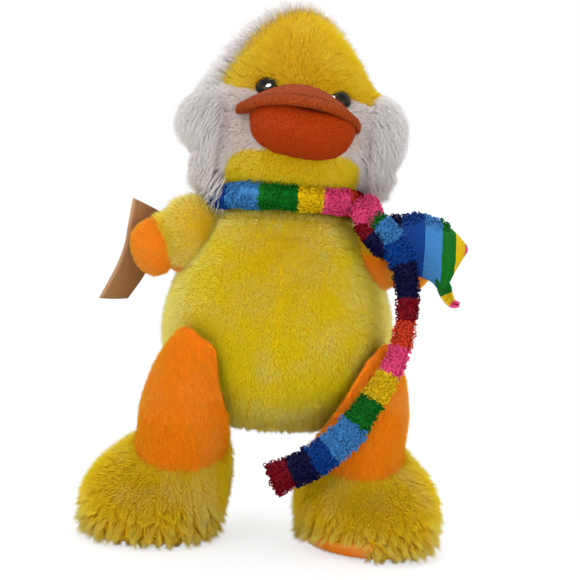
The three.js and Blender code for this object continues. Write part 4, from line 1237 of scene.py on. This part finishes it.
def add_fuzz(form, name, felt, seed, bare=None):
    """Short felt fibres over a form, growing every way, and none where it is bare."""
    mesh = form.data
    size = len(mesh.vertices)
    store(mesh, "pile_length", np.full(size, FUZZ_LENGTH))
    store(mesh, "pile_comb", np.zeros((size, 3)))
    store(mesh, "pile_density", np.ones(size) if bare is None else 1 - bare)
    store(mesh, "pile_tuft", np.ones(size))
    store(mesh, "worn_felt", np.ones(size))
    return grown(name, mesh, pile_tree, {
        "Strand": straight_strand, "Worn here": "worn_felt", "Density": FUZZ_DENSITY * 1e6, "Seed": seed,
        "Strand radius": 0.09 * MM, "Length spread": 0.5, "Tuft size": 2 * MM, "Tuft pull": 0.1,
        "Disorder": 0.9, "Droop": 0.0, "Finish": fuzz_finish(f"{name} fibres", felt)})


# %% Shape the bill
LIP_HEIGHT, LIP_RISE = 13 * MM, 2.4 * MM   # the pouch's top edge tucks up under the rim
RIM_WIDTH, GROOVE_HALF_WIDTH, GROOVE_DEPTH, ROLL_RISE = 6.4 * MM, 0.9 * MM, 2 * MM, 1.5 * MM
GROOVE_SHADE = 0.85
EDGE_SLOT, RIM_DEPTH, EDGE_PASSES = 2.5 * MM, 5 * MM, 3
FACING_GAIN, FACING_LEAST = 2.5, 0.1       # the roll and the groove are only on the bill's front


def edge_height(points):
    """The height of the rim's lower edge at each point's distance from the middle."""
    slots = np.arange(points[:, 0].min(), points[:, 0].max() + EDGE_SLOT, EDGE_SLOT)
    places, lows = [], []
    for low, high in zip(slots, slots[1:]):
        here = points[(points[:, 0] >= low) & (points[:, 0] < high)]
        if len(here):
            front = here[here[:, 1] < here[:, 1].min() + RIM_DEPTH]
            places.append((low + high) / 2)
            lows.append(front[:, 2].min())
    return np.interp(points[:, 0], places, relaxed_line(np.array(lows)))


def relaxed_line(values):
    """Smooths a row of numbers and keeps its ends."""
    for _ in range(EDGE_PASSES):
        values = np.concatenate([values[:1], (values[:-2] + 2 * values[1:-1] + values[2:]) / 4, values[-1:]])
    return values


beak = remeshed("upper_bill_felt", ["upper_bill"], BILL_STEP, BILL_PASSES)
beak_points, beak_normals = points_of(beak.data), normals_of(beak.data)
rise = beak_points[:, 2] - edge_height(beak_points)
facing = eased(-FACING_GAIN * beak_normals[:, 1] - FACING_LEAST)
groove = np.exp(-((rise - RIM_WIDTH) / GROOVE_HALF_WIDTH) ** 2) * facing
roll = np.sin(np.pi * (rise / RIM_WIDTH).clip(0, 1)) * facing
store(beak.data, "groove", GROOVE_SHADE * groove)
set_points(beak.data, beak_points + beak_normals * (ROLL_RISE * roll - GROOVE_DEPTH * groove)[:, None])
print("the rim's groove runs through", int((groove > 0.5).sum()), "points")
with_modifier(beak, "SUBSURF", levels=1, render_levels=1)
pouch_points = points_of(pouch.data)
lip = eased((pouch_points[:, 2] - pouch_points[:, 2].max() + LIP_HEIGHT) / LIP_HEIGHT)
set_points(pouch.data, pouch_points + [0, 0, LIP_RISE] * lip[:, None])

# %% Cover the bill with felt
HALVES = {"upper_bill": (beak, (), 31), "lower_bill": (pouch, ("bill_stuffing",), 32)}   # form, filling, seed

for node, (form, filling, seed) in HALVES.items():
    form.data.materials.clear()
    form.data.materials.append(felt_finish(f"{node} felt", FELTS[node]))
    form.data.shade_smooth()
    bare = values_of(form.data, "groove") if node == "upper_bill" else None
    fibres = add_fuzz(form, f"{node}_fuzz", FELTS[node], seed, bare)
    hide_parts(node, *filling)
    for piece in (form, fibres):
        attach(piece, "head")
    print(form.name, len(form.data.polygons), "faces and", len(fibres.data.polygons), "of fuzz")

# %% [markdown]
# ## Eyes
# Safety eyes are domes of glossy plastic on a shank that goes through the head's cloth to a washer.
# A profile turned about the shank's line gives an even dome. Its colour follows the distance from
# that line: a black pupil, a dark olive ring and a black rim.

# %% Eyes
DOME_RADIUS, DOME_HEIGHT = 7.0 * MM, 3.6 * MM
LOOK_UP = 0.6                                # added to the head's own direction at the eye
EYE_RISE = 0.8 * MM                          # the dome's edge over the backing, low in the pile
SHANK_RADIUS, SHANK_LENGTH = 1.8 * MM, 11 * MM
DOME_RINGS, DOME_SIDES = 14, 44
RIM_TURN, BACK_EDGE = (0.97, -0.4 * MM), (0.9, -0.6 * MM)   # share of the radius, height
BACK_HEIGHT = -0.7 * MM
BLACK, IRIS_DARK, IRIS_LIGHT = light(5, 5, 6), light(22, 16, 6), light(48, 36, 14)
EYE_SHINE, IRIS_GRAIN = 0.13, 3000
CLOSED, OPEN = (0, 0, 0, 1), (1, 1, 1, 1)
IRIS_RING = [(0.44, CLOSED), (0.52, OPEN), (0.74, OPEN), (0.84, CLOSED)]   # shares of the dome's radius


def turned(name, profile, place, axis, sides):
    """A closed form turned about an axis, from [radius, height] points that start and end on it."""
    axis = Vector(axis).normalized()
    across = axis.orthogonal().normalized()
    other = axis.cross(across)
    points, faces = [Vector(place) + axis * profile[0][1]], []
    for radius, height in profile[1:-1]:
        for k in range(sides):
            angle = math.tau * k / sides
            points.append(Vector(place) + axis * height
                          + radius * (across * math.cos(angle) + other * math.sin(angle)))
    points.append(Vector(place) + axis * profile[-1][1])
    last = len(points) - 1
    for k in range(sides):
        nearby = (k + 1) % sides
        faces.append((0, 1 + k, 1 + nearby))
        for ring in range(len(profile) - 3):
            low, high = 1 + ring * sides, 1 + (ring + 1) * sides
            faces.append((low + k, high + k, high + nearby, low + nearby))
        faces.append((last - sides + k, last, last - sides + nearby))
    return new_object(name, new_mesh(name, points, faces))


def faced_outwards(piece):
    edit = bmesh.new()
    edit.from_mesh(piece.data)
    bmesh.ops.recalc_face_normals(edit, faces=edit.faces)
    edit.to_mesh(piece.data)
    edit.free()
    return piece


def eye_finish():
    material, tree, surface = finish("eye plastic", Roughness=0.05, Specular_IOR_Level=EYE_SHINE)
    iris = mixed(tree, noise(tree, IRIS_GRAIN, detail=3), IRIS_DARK, IRIS_LIGHT)
    inner = ramp(tree, attribute(tree, "ring"), IRIS_RING)
    tree.links.new(mixed(tree, inner, BLACK, iris), surface.inputs["Base Color"])
    return material


def make_eye(side):
    """A dome, a flat back and a shank, turned about the line that the eye looks along."""
    centre = points_of(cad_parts[f"eye_{side}"].data).mean(0)
    spot, normal, _, _ = head_surface.find_nearest(centre)
    outward = unit(np.array(normal) + [0, 0, LOOK_UP])
    place = np.array(spot) + outward * EYE_RISE
    print("the eye faces", outward.round(2))
    angles = [math.pi / 2 * k / DOME_RINGS for k in range(DOME_RINGS + 1)]
    dome = [(DOME_RADIUS * math.sin(a), DOME_HEIGHT * math.cos(a)) for a in angles]
    back = [(DOME_RADIUS * share, height) for share, height in (RIM_TURN, BACK_EDGE)]
    back += [(SHANK_RADIUS, BACK_HEIGHT), (SHANK_RADIUS, -SHANK_LENGTH), (0, -SHANK_LENGTH)]
    eye = turned(f"eye_{side}_dome", dome + back, place, outward, DOME_SIDES)
    reach = points_of(eye.data) - place
    from_line = np.linalg.norm(reach - np.outer(reach @ outward, outward), axis=1)
    store(eye.data, "ring", from_line / DOME_RADIUS)
    return faced_outwards(eye)


head_form = bmesh.new()
head_form.from_mesh(bags["head"].data)
head_surface = BVHTree.FromBMesh(head_form)
head_form.free()
eye_plastic = eye_finish()
for side in ("left", "right"):
    eye = make_eye(side)
    eye.data.materials.append(eye_plastic)
    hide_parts(f"eye_{side}")
    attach(eye, "head")
    print(eye.name, "is", [round(v / MM, 1) for v in eye.dimensions], "mm")

# %% [markdown]
# ## Scarf
# The scarf is one long strip in broad stripes: rolled round the neck, knotted at the duck's left,
# with one end hanging over the leg and the other spread over the wing. Each stretch is a sweep of a
# cross-section along its route, because a strip that is laid along listed points lies just where
# the real one does. Two numbers are kept at each point, how far along and how far across the strip
# it lies, and the stripes read them, so they follow every bend.

# %% Scarf colours
NAVY, BLUE, SKY = light(12, 12, 60), light(4, 62, 142), light(62, 128, 190)
GREEN, YELLOW, PINK = light(12, 104, 24), light(222, 184, 10), light(230, 74, 128)
ORANGE_RED, DARK_RED = light(206, 62, 34), light(126, 6, 26)

BAND_STRIPES = [
    (0, DARK_RED), (0.06, NAVY), (0.13, BLUE), (0.2, SKY), (0.27, GREEN), (0.34, YELLOW), (0.41, PINK),
    (0.47, DARK_RED), (0.53, NAVY), (0.6, BLUE), (0.687, SKY), (0.764, GREEN), (0.844, YELLOW),
    (0.902, PINK), (0.968, ORANGE_RED)]
TAIL_STRIPES = [
    (0, GREEN), (0.055, SKY), (0.125, BLUE), (0.195, NAVY), (0.294, DARK_RED), (0.363, ORANGE_RED),
    (0.44, PINK), (0.531, YELLOW), (0.617, GREEN), (0.706, SKY), (0.812, BLUE), (0.87, NAVY),
    (0.94, DARK_RED)]
FLARE_STRIPES = [
    (0, NAVY), (0.24, BLUE), (0.5, SKY), (0.71, GREEN), (0.87, YELLOW), (0.97, PINK)]
LOOP_STRIPES = [(0, PINK), (0.42, DARK_RED), (0.62, NAVY)]
CORNER_STRIPES = [(0, GREEN), (0.5, YELLOW), (0.78, PINK)]

TERRY = SimpleNamespace(waver=520, tones=(0.75, 1.12))   # ripples of a stripe's edge, dark and light yarn
KNIT = SimpleNamespace(waver=260, tones=(0.74, 0.9))
STRIPE_WAVER, YARN_MOTTLE, MOTTLE_EDGES = 0.02, 900, (0.35, 0.65)
TERRY_GRAIN, TERRY_HEIGHT = 1500, 0.6 * MM
KNIT_ROWS, KNIT_RIBS, KNIT_HEIGHT = 260.0, 340.0, 0.1 * MM


def striped(name, stops, yarn):
    """Stripes along a strip, with uneven edges. Terry has a rough face, and the knit is smooth."""
    material, tree, surface = finish(name, Roughness=0.95, Specular_IOR_Level=YARN_SHINE)
    waver = maths(tree, "SUBTRACT", noise(tree, yarn.waver, detail=2), 0.5)
    waver = maths(tree, "MULTIPLY", waver, STRIPE_WAVER)
    colour = ramp(tree, maths(tree, "ADD", attribute(tree, "along"), waver), stops, "CONSTANT")
    shade = ranged(tree, noise(tree, YARN_MOTTLE, detail=3), *MOTTLE_EDGES, *yarn.tones)
    tree.links.new(shaded(tree, colour, shade), surface.inputs["Base Color"])
    if yarn is TERRY:
        bump(tree, surface, noise(tree, TERRY_GRAIN, detail=3), TERRY_HEIGHT)
    else:
        knit_bump(tree, surface)
    return material


def knit_bump(tree, surface):
    """Rows of small stitches, from two waves that follow the strip."""
    rows = maths(tree, "SINE", maths(tree, "MULTIPLY", attribute(tree, "across"), KNIT_ROWS))
    ribs = maths(tree, "SINE", maths(tree, "MULTIPLY", attribute(tree, "along"), KNIT_RIBS))
    both = maths(tree, "ADD", maths(tree, "MULTIPLY", rows, 0.5), maths(tree, "MULTIPLY", ribs, 0.5))
    bump(tree, surface, both, KNIT_HEIGHT)


# %% Sweeps
FINE_STEPS = 24   # between two of a route's points


def curve_through(points, count):
    """A smooth curve through points, as count places spread evenly along its length."""
    points = np.array(points, float)
    padded_points = np.vstack([2 * points[0] - points[1], points, 2 * points[-1] - points[-2]])
    fine = []
    for a, b, c, d in zip(padded_points, padded_points[1:], padded_points[2:], padded_points[3:]):
        for s in np.linspace(0, 1, FINE_STEPS, endpoint=False):
            fine.append(0.5 * (2 * b + (c - a) * s + (2 * a - 5 * b + 4 * c - d) * s ** 2
                               + (3 * b - a - 3 * c + d) * s ** 3))
    fine = np.array(fine + [points[-1]])
    steps = np.concatenate([[0], np.cumsum(np.linalg.norm(np.diff(fine, axis=0), axis=1))])
    spread = np.linspace(0, steps[-1], count)
    return np.stack([np.interp(spread, steps, fine[:, k]) for k in range(points.shape[1])], 1)


def strip_section(line, thickness):
    """A strip seen from its end: a line with thickness and rounded edges, as a closed ring."""
    line = np.array(line, float)
    tangent = unit(np.gradient(line, axis=0))
    normal = np.stack([-tangent[:, 1], tangent[:, 0]], 1)
    half = thickness / 2
    upper, lower = line + half * normal, (line - half * normal)[::-1]
    first, last = line[0] - half * tangent[0], line[-1] + half * tangent[-1]
    ring = np.vstack([upper, last, lower, first])
    across = np.linspace(0, 1, len(line))
    return ring, np.concatenate([across, [1], across[::-1], [0]])


def swept(name, rings, across):
    """A closed sweep through rings of points, with its along and across numbers."""
    rings = np.array(rings)
    rows, sides, _ = rings.shape
    faces = []
    for row in range(rows - 1):
        for k in range(sides):
            a, b = row * sides + k, row * sides + (k + 1) % sides
            faces.append((a, b, b + sides, a + sides))
    points = np.vstack([rings.reshape(-1, 3), rings[0].mean(0), rings[-1].mean(0)])
    start, end = len(points) - 2, len(points) - 1
    last = (rows - 1) * sides
    faces += [(start, (k + 1) % sides, k) for k in range(sides)]
    faces += [(end, last + k, last + (k + 1) % sides) for k in range(sides)]
    piece = new_object(name, new_mesh(name, points, faces))
    length = np.concatenate([[0], np.cumsum(np.linalg.norm(np.diff(rings.mean(1), axis=0), axis=1))])
    store(piece.data, "along", np.concatenate([np.repeat(length / length[-1], sides), [0, 1]]))
    store(piece.data, "across", np.concatenate([np.tile(across, rows), [0.5, 0.5]]))
    return faced_outwards(piece)


def mark_outside(piece, rows, sides, share):
    """Notes the points on the outside of a roll, where loops are worth growing."""
    rings = points_of(piece.data)[:rows * sides].reshape(rows, sides, 3)
    reach = np.linalg.norm(rings - rings.mean(1, keepdims=True), axis=2)
    outside = reach > share * reach.max(1, keepdims=True)
    store(piece.data, "loops_here", np.append(outside.ravel(), [False, False]).astype(float))


def steady(row, *waves):
    """A slow wobble of about -1 to 1 along a strip, the same in each run."""
    return sum(math.sin(row * frequency + shift) for frequency, shift in waves) / len(waves)


# %% The rolled neck band
BAND_HEIGHT = 200 * MM
BAND_REACH = np.array([43, 39]) * MM
BAND_ROLL = np.array([4.6, 6.2]) * MM
KNOT_ANGLE = math.radians(-27)
STRIP_THICKNESS = 2.2 * MM
BAND_ROWS, BAND_POINTS = 110, 20
BAND_TURNS, BAND_INNER = (-0.35, 0.95), 0.62   # the roll's start and end, and its inner layer's size
BAND_OUTSIDE = 0.7


def band_ring(row):
    """The strip rolled on itself, one and a quarter turns, at one place round the neck."""
    share = row / (BAND_ROWS - 1)
    angle = KNOT_ANGLE + math.tau * share
    outward = np.array([math.cos(angle), math.sin(angle), 0])
    centre = np.array([BAND_REACH[0] * outward[0], BAND_REACH[1] * outward[1], BAND_HEIGHT]) + MIDDLE
    swell = 1 + 0.1 * steady(row, (0.55, 0.3), (0.23, 1.1))
    lift = 0.5 * MM * steady(row, (0.31, 0.0), (0.71, 2.0))
    turns = np.linspace(*BAND_TURNS, BAND_POINTS) * math.tau
    shrink = np.linspace(BAND_INNER, 1.0, BAND_POINTS)
    line = np.stack([BAND_ROLL[0] * swell * shrink * np.cos(turns),
                     BAND_ROLL[1] * swell * shrink * np.sin(turns)], 1)
    ring, across = strip_section(line, STRIP_THICKNESS)
    return centre + ring[:, :1] * outward + (ring[:, 1:] + lift) * [0, 0, 1], across


rings = [band_ring(row) for row in range(BAND_ROWS)]
neck_band = swept("neck_band", [ring for ring, _ in rings], rings[0][1])
mark_outside(neck_band, BAND_ROWS, len(rings[0][1]), BAND_OUTSIDE)
print("neck band:", [round(v / MM) for v in neck_band.dimensions], "mm")

# %% The hanging end, with the flap that crosses the knot
TAIL_ROUTE = np.array([
    [46.5, -31.5, 191], [51, -37.5, 189.5], [56, -41.5, 186], [62, -43.5, 178], [68, -45, 167],
    [71.5, -46, 151], [72, -47, 134], [68, -49, 113], [58, -54, 93], [43, -56.8, 70],
    [24, -58, 53], [3, -57, 42]]) * MM
TAIL_ROWS, TAIL_POINTS = 90, 9
TAIL_WIDTHS = [   # share of the route, half width in millimetres
    [0, 3.6], [0.08, 5.2], [0.16, 6.4], [0.24, 5.0], [0.34, 4.2], [0.5, 4.2], [0.62, 5.6],
    [0.75, 7.2], [1, 7.6]]
TAIL_CURL = 3 * MM


def tail_rings():
    places = curve_through(TAIL_ROUTE, TAIL_ROWS) + MIDDLE
    tangents = unit(np.gradient(places, axis=0))
    for row, (place, tangent) in enumerate(zip(places, tangents)):
        share = row / (TAIL_ROWS - 1)
        across = unit(np.cross([0, -1, 0], tangent))
        outward = unit(np.cross(tangent, across))
        width = np.interp(share, *zip(*TAIL_WIDTHS)) * MM * (
            1 + 0.07 * steady(row, (0.5, 0.4), (0.27, 2.2)))
        offsets = np.linspace(-1, 1, TAIL_POINTS)
        curl = TAIL_CURL * (1 + 0.25 * steady(row, (0.33, 1.0), (0.15, 0.2)))
        line = np.stack([offsets * width, -curl * offsets ** 2], 1)
        ring, numbers_across = strip_section(line, STRIP_THICKNESS)
        yield place + ring[:, :1] * across + ring[:, 1:] * outward, numbers_across


rings = list(tail_rings())
hanging_tail = swept("hanging_tail", [ring for ring, _ in rings], rings[0][1])
mark_outside(hanging_tail, TAIL_ROWS, len(rings[0][1]), 0)
print("hanging end:", [round(v / MM) for v in hanging_tail.dimensions], "mm")

# %% The knot: the band's end bulges over, tucks down and comes out below
LOOP_ROUTE = np.array([
    [44.5, -25.5, 198.5], [46.5, -30, 195.5], [47.8, -32.5, 190.5], [46.8, -34, 184.5],
    [50.5, -37.5, 179.5], [56, -38.5, 175.5], [61, -35.5, 172.5]]) * MM
LOOP_ROWS, LOOP_SIDES = 44, 16
LOOP_RADII = [6.0, 7.5, 7.2, 4.4, 4.6, 5.2, 4.2]   # millimetres, evenly along the route
LOOP_FLATNESS = 0.8


def loop_rings():
    places = curve_through(LOOP_ROUTE, LOOP_ROWS) + MIDDLE
    tangents = unit(np.gradient(places, axis=0))
    shares = np.linspace(0, 1, LOOP_ROWS)
    radii = np.interp(shares, np.linspace(0, 1, len(LOOP_RADII)), LOOP_RADII) * MM
    for row, (place, tangent, radius) in enumerate(zip(places, tangents, radii)):
        across = unit(np.cross([0, -1, 0.2], tangent))
        outward = unit(np.cross(tangent, across))
        angles = np.linspace(0, math.tau, LOOP_SIDES, endpoint=False)
        crease = 1 - 0.16 * np.cos(3 * angles + 0.12 * row) - 0.08 * np.cos(5 * angles - 0.2 * row)
        yield (place + (radius * crease * np.cos(angles))[:, None] * across
               + (LOOP_FLATNESS * radius * crease * np.sin(angles))[:, None] * outward)


knot_loop = swept("knot_loop", list(loop_rings()), np.linspace(0, 1, LOOP_SIDES))
mark_outside(knot_loop, LOOP_ROWS, LOOP_SIDES, 0)
print("knot:", [round(v / MM) for v in knot_loop.dimensions], "mm")

# %% The flat end over the wing
FLARE_ROUTE = np.array([   # distance out, top height, bottom height, fold over the wing
    [55, 189, 176, 2], [62, 193, 168, 7], [69, 193.5, 162, 13], [77, 196, 161, 16], [86, 194, 158, 14],
    [93, 191, 153, 11], [100, 185, 166, 7], [105, 178.5, 175.5, 2]]) * MM
WING_ROOT = np.array([43.71, -8, 180.45]) * MM
WING_ALONG = np.array([0.9046, -0.1271, -0.4067])
FLARE_DEPTH = 17.1 * MM
FLARE_ROWS, FLARE_POINTS = 46, 18
FLARE_THICKNESS = 1.5 * MM
FLARE_HOLLOW, FLARE_RIPPLE = 1.8 * MM, 0.9 * MM
FRAYED_ABOVE, FRAYED_UP_TO, FRAYED_LOOPS = 0.86, 0.8, 0.7   # terry shows along the upper edge


def flare_rings():
    """The flat end falls in front of the wing, and its upper edge folds back over it."""
    table = curve_through(FLARE_ROUTE, FLARE_ROWS)
    for row, (reach, top, bottom, fold) in enumerate(table):
        front = WING_ROOT[1] + WING_ALONG[1] * (reach - WING_ROOT[0]) / WING_ALONG[0] - FLARE_DEPTH
        shares = [0, 0.4, 0.75, 0.95, 1]
        depths = [0, -FLARE_HOLLOW, 0, fold / 3, fold]
        places = np.linspace(0, 1, FLARE_POINTS)
        depth = np.interp(places, shares, depths)
        ripple = FLARE_RIPPLE * np.sin(5.2 * places + 0.35 * row) * (1 - places)
        line = np.stack([front + relaxed_line(depth) + ripple, bottom + (top - bottom) * places], 1)
        ring, across = strip_section(line, FLARE_THICKNESS)
        yield np.hstack([np.full((len(ring), 1), reach), ring]) + MIDDLE, across


rings = list(flare_rings())
flare = swept("flared_end", [ring for ring, _ in rings], rings[0][1])
along, across = values_of(flare.data, "along"), values_of(flare.data, "across")
store(flare.data, "loops_here", FRAYED_LOOPS * ((across > FRAYED_ABOVE) & (along < FRAYED_UP_TO)))
print("flat end:", [round(v / MM) for v in flare.dimensions], "mm")

# %% The curled tip at the flat end's lower corner
CORNER_ROUTE = np.array([
    [91.2, -32.2, 160], [93.2, -32.6, 155], [95.2, -32.8, 150], [98.4, -32.4, 145.8],
    [102.2, -31.6, 145.2]]) * MM
CORNER_ROWS, CORNER_POINTS, CORNER_CURL = 24, 7, 2.2 * MM
CORNER_WIDTHS = [   # share of the route, half width in millimetres
    [0, 2.6], [0.35, 3.5], [0.65, 2.7], [0.9, 1.5], [1, 0.8]]


def corner_rings():
    places = curve_through(CORNER_ROUTE, CORNER_ROWS) + MIDDLE
    tangents = unit(np.gradient(places, axis=0))
    for row, (place, tangent) in enumerate(zip(places, tangents)):
        share = row / (CORNER_ROWS - 1)
        across = unit(np.cross([0, -1, 0], tangent))
        outward = unit(np.cross(tangent, across))
        offsets = np.linspace(-1, 1, CORNER_POINTS)
        width = np.interp(share, *zip(*CORNER_WIDTHS)) * MM
        line = np.stack([offsets * width, CORNER_CURL * share * offsets ** 2], 1)
        ring, numbers_across = strip_section(line, FLARE_THICKNESS)
        yield place + ring[:, :1] * across + ring[:, 1:] * outward, numbers_across


rings = list(corner_rings())
flare_corner = swept("flare_corner", [ring for ring, _ in rings], rings[0][1])
print("curled tip:", [round(v / MM) for v in flare_corner.dimensions], "mm")

# %% [markdown]
# ## Terry loops
# The band, the knot and the hanging end are terry: their face is covered with small loops of yarn.
# A second tree scatters points over the strip, stands a little ring of yarn on each, and turns and
# sizes it at random. Each loop takes its place along the strip from the cloth under it.


# %% The yarn loop and its tree
LOOP_STAND = 0.7                        # height of the loop's middle, in its own radius
LOOP_TILT, LOOP_SIZES = 0.9, (0.75, 1.2)
LOOP_BENDS, YARN_SIDES, YARN_THICKNESS = 5, 3, 0.42


def yarn_loop(name, bends, sides, thickness):
    """A small closed ring of yarn that stands on edge."""
    points, faces, spots = [], [], []
    for k in range(bends):
        turn = math.tau * k / bends
        for j in range(sides):
            angle = math.tau * j / sides
            reach = 1 + thickness * math.cos(angle)
            points.append((
                reach * math.cos(turn), thickness * math.sin(angle), LOOP_STAND + reach * math.sin(turn)))
    for k in range(bends):
        for j in range(sides):
            a, b = k * sides + j, k * sides + (j + 1) % sides
            c, d = ((k + 1) % bends) * sides + (j + 1) % sides, ((k + 1) % bends) * sides + j
            faces.append((a, b, c, d))
            left, low = k / bends, j / sides
            spots += [(left, low), (left, low + 1 / sides), (left + 1 / bends, low + 1 / sides),
                      (left + 1 / bends, low)]
    loop = new_object(name, new_mesh(name, points, faces))
    store(loop.data, "strand_spot", np.array(spots), "CORNER")
    return faced_outwards(loop)


loop_tree, given = new_tree("terry loops", {
    "Loop": "Object", "Density": "Float", "Seed": "Int", "Loop size": "Float", "Finish": "Material"})
t = loop_tree
scatter = add(t, "GeometryNodeDistributePointsOnFaces", {
    "Mesh": given["Geometry"], "Seed": given["Seed"],
    "Density": maths(t, "MULTIPLY", named(t, "loops_here"), given["Density"])})
points = keep(t, out(scatter, "Points"), "cell", out(add(t, "GeometryNodeInputIndex")), "INT")
spin = out(add(t, "FunctionNodeAxisAngleToRotation", {
    "Axis": (0.0, 0.0, 1.0), "Angle": random_number(t, 0.0, math.tau, 4)}))
tilt = out(add(t, "FunctionNodeAxisAngleToRotation", {
    "Axis": (1.0, 0.0, 0.0), "Angle": random_number(t, -LOOP_TILT, LOOP_TILT, 6)}))
spin = out(add(t, "FunctionNodeRotateRotation", {"Rotation": spin, "Rotate By": tilt}))
stand = out(add(t, "FunctionNodeRotateRotation", {
    "Rotation": out(scatter, "Rotation"), "Rotate By": spin}, rotation_space="LOCAL"))
size = maths(t, "MULTIPLY", given["Loop size"], random_number(t, *LOOP_SIZES, 8))
template = out(add(t, "GeometryNodeObjectInfo", {"Object": given["Loop"]}), "Geometry")
loops = out(add(t, "GeometryNodeInstanceOnPoints", {
    "Points": points, "Instance": template, "Rotation": stand, "Scale": size}))
loops = out(add(t, "GeometryNodeRealizeInstances", {"Geometry": loops}))
loops = without(t, cell_map(t, loops, points), ("cell", "strand_spot", "loops_here"))
end_tree(t, loops, given["Finish"])
loop_template = yarn_loop("yarn loop", LOOP_BENDS, YARN_SIDES, YARN_THICKNESS)
print("the loop tree has", len(t.nodes), "nodes")

# %% [markdown]
# ## How the scarf moves
# The band and the knot stay with the body. The hanging end rests on the left leg, and stays where
# it is made. The flat end lies on the wing and rides it.

# %% Finish the scarf's pieces
LOOP_SIZE = 1.05 * MM
LOOP_DENSITY = 0.38e6
SCARF = {   # name: piece, stripes, body, replaced node, seed of its loops or nothing
    "neck_band": (neck_band, BAND_STRIPES, "body", "scarf_neck_band", 41),
    "knot_loop": (knot_loop, LOOP_STRIPES, "body", "scarf_knot", 42),
    "hanging_tail": (hanging_tail, TAIL_STRIPES, "body", "scarf_hanging_tail", 43),
    "flared_end": (flare, FLARE_STRIPES, "left_wing", "scarf_flared_end", 44),
    "flare_corner": (flare_corner, CORNER_STRIPES, "left_wing", None, None),
}


def place_scarf_piece(piece, body):
    if piece.name.startswith("hanging"):
        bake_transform(piece)
    else:
        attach(piece, body)
    if body == "left_wing":
        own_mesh(piece)


for name, (piece, stripes, body, node, seed) in SCARF.items():
    yarn = striped(f"{name} yarn", stripes, KNIT if name.startswith("flare") else TERRY)
    piece.data.materials.append(yarn)
    if seed is not None:
        loops = grown(f"{name}_loops", piece.data, loop_tree, {
            "Loop": loop_template, "Density": LOOP_DENSITY, "Seed": seed, "Loop size": LOOP_SIZE,
            "Finish": yarn})
        place_scarf_piece(loops, body)
        print(loops.name, len(loops.data.polygons), "faces")
    if node:
        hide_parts(node)
    place_scarf_piece(piece, body)

# %% [markdown]
# ## Tag and clear plastic
# The tag is bare kraft card that hangs behind the right hand on a plastic thread. The solid is a
# flat plate. The real card has curled and twisted a little, so a curved one takes its place: two
# edges run down through a few points, and each row of the card is a line between them. The thread
# and the washers inside the head keep their solids, in pale plastic.


# %% Kraft card
CARD_LEFT = np.array([
    [-88.2, -3, 195.1], [-90.1, -3, 179.2], [-91.4, -3, 167.5], [-95.3, -3, 154.6], [-104.3, -3, 134.6]]) * MM
CARD_RIGHT = np.array([
    [-73.1, 12, 188.8], [-74.6, 12, 174.8], [-76.8, 12, 162.5], [-80.8, 12, 150.1], [-89.4, 10, 135.4]]) * MM
CARD_ROWS, CARD_POINTS, CARD_THICKNESS, CARD_BOW = 40, 14, 0.5 * MM, 1.2 * MM
CARD_SHINE, FIBRE_GRAIN, FIBRE_STRETCH, FIBRE_HEIGHT = 0.15, 2600, (1.0, 1.0, 0.25), 0.08 * MM
CARD_FIBRES = [(0.3, light(134, 90, 50)), (0.55, light(154, 108, 64)), (0.78, light(178, 136, 92))]
# The card is darker brown towards its lower end and lighter along its left edge.
LOWER_END_BROWN, EDGE_BROWN = light(132, 102, 68), light(196, 160, 122)
LOWER_DARKENING, LEFT_EDGE_LIGHTENING = (0.45, 0.8, 0.0, 0.6), (0.05, 0.12, 0.55, 0.0)   # start, end, and how much there


def card_rings():
    lefts, rights = curve_through(CARD_LEFT, CARD_ROWS), curve_through(CARD_RIGHT, CARD_ROWS)
    tangents = unit(np.gradient((lefts + rights) / 2, axis=0))
    for left, right, tangent in zip(lefts, rights, tangents):
        across = unit(right - left)
        outward = unit(np.cross(tangent, across))
        offsets = np.linspace(-1, 1, CARD_POINTS)
        reach = np.linalg.norm(right - left) / 2
        line = np.stack([offsets * reach, CARD_BOW * (1 - offsets ** 2)], 1)
        ring, numbers_across = strip_section(line, CARD_THICKNESS)
        yield (left + right) / 2 + ring[:, :1] * across + ring[:, 1:] * outward, numbers_across


def card_finish():
    material, tree, surface = finish("kraft card", Roughness=0.9, Specular_IOR_Level=CARD_SHINE)
    place = out(add(tree, "ShaderNodeTexCoord"), "Object")
    stretched = out(add(tree, "ShaderNodeMapping", {"Vector": place, "Scale": FIBRE_STRETCH}))
    fibres = noise(tree, FIBRE_GRAIN, stretched, detail=4)
    colour = ramp(tree, fibres, CARD_FIBRES)
    colour = mixed(tree, ranged(tree, attribute(tree, "along"), *LOWER_DARKENING), colour, LOWER_END_BROWN)
    colour = mixed(tree, ranged(tree, attribute(tree, "across"), *LEFT_EDGE_LIGHTENING), colour, EDGE_BROWN)
    tree.links.new(colour, surface.inputs["Base Color"])
    bump(tree, surface, fibres, FIBRE_HEIGHT)
    return material


rings = list(card_rings())
tag_card = swept("tag_card", [ring for ring, _ in rings], rings[0][1])
tag_card.data.materials.append(card_finish())
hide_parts("kraft_tag")
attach(tag_card, "tag")
print("tag card:", [round(v / MM, 1) for v in tag_card.dimensions], "mm")


# %% Clear plastic
HAZE_GRAIN, HAZE_DARK, HAZE_LIGHT = 500, light(206, 210, 212), light(228, 230, 232)


def clear_finish():
    material, tree, surface = finish("clear plastic", Roughness=0.25)
    haze = mixed(tree, noise(tree, HAZE_GRAIN, detail=2), HAZE_DARK, HAZE_LIGHT)
    tree.links.new(haze, surface.inputs["Base Color"])
    return material


clear = clear_finish()
for node in ("tag_fastener", "eye_washer_left", "eye_washer_right"):
    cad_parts[node].data.materials.clear()
    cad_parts[node].data.materials.append(clear)

# %% Put away the templates and close the lesson
for template_object in (straight_strand, bending_strand, loop_template):
    bpy.data.objects.remove(template_object)
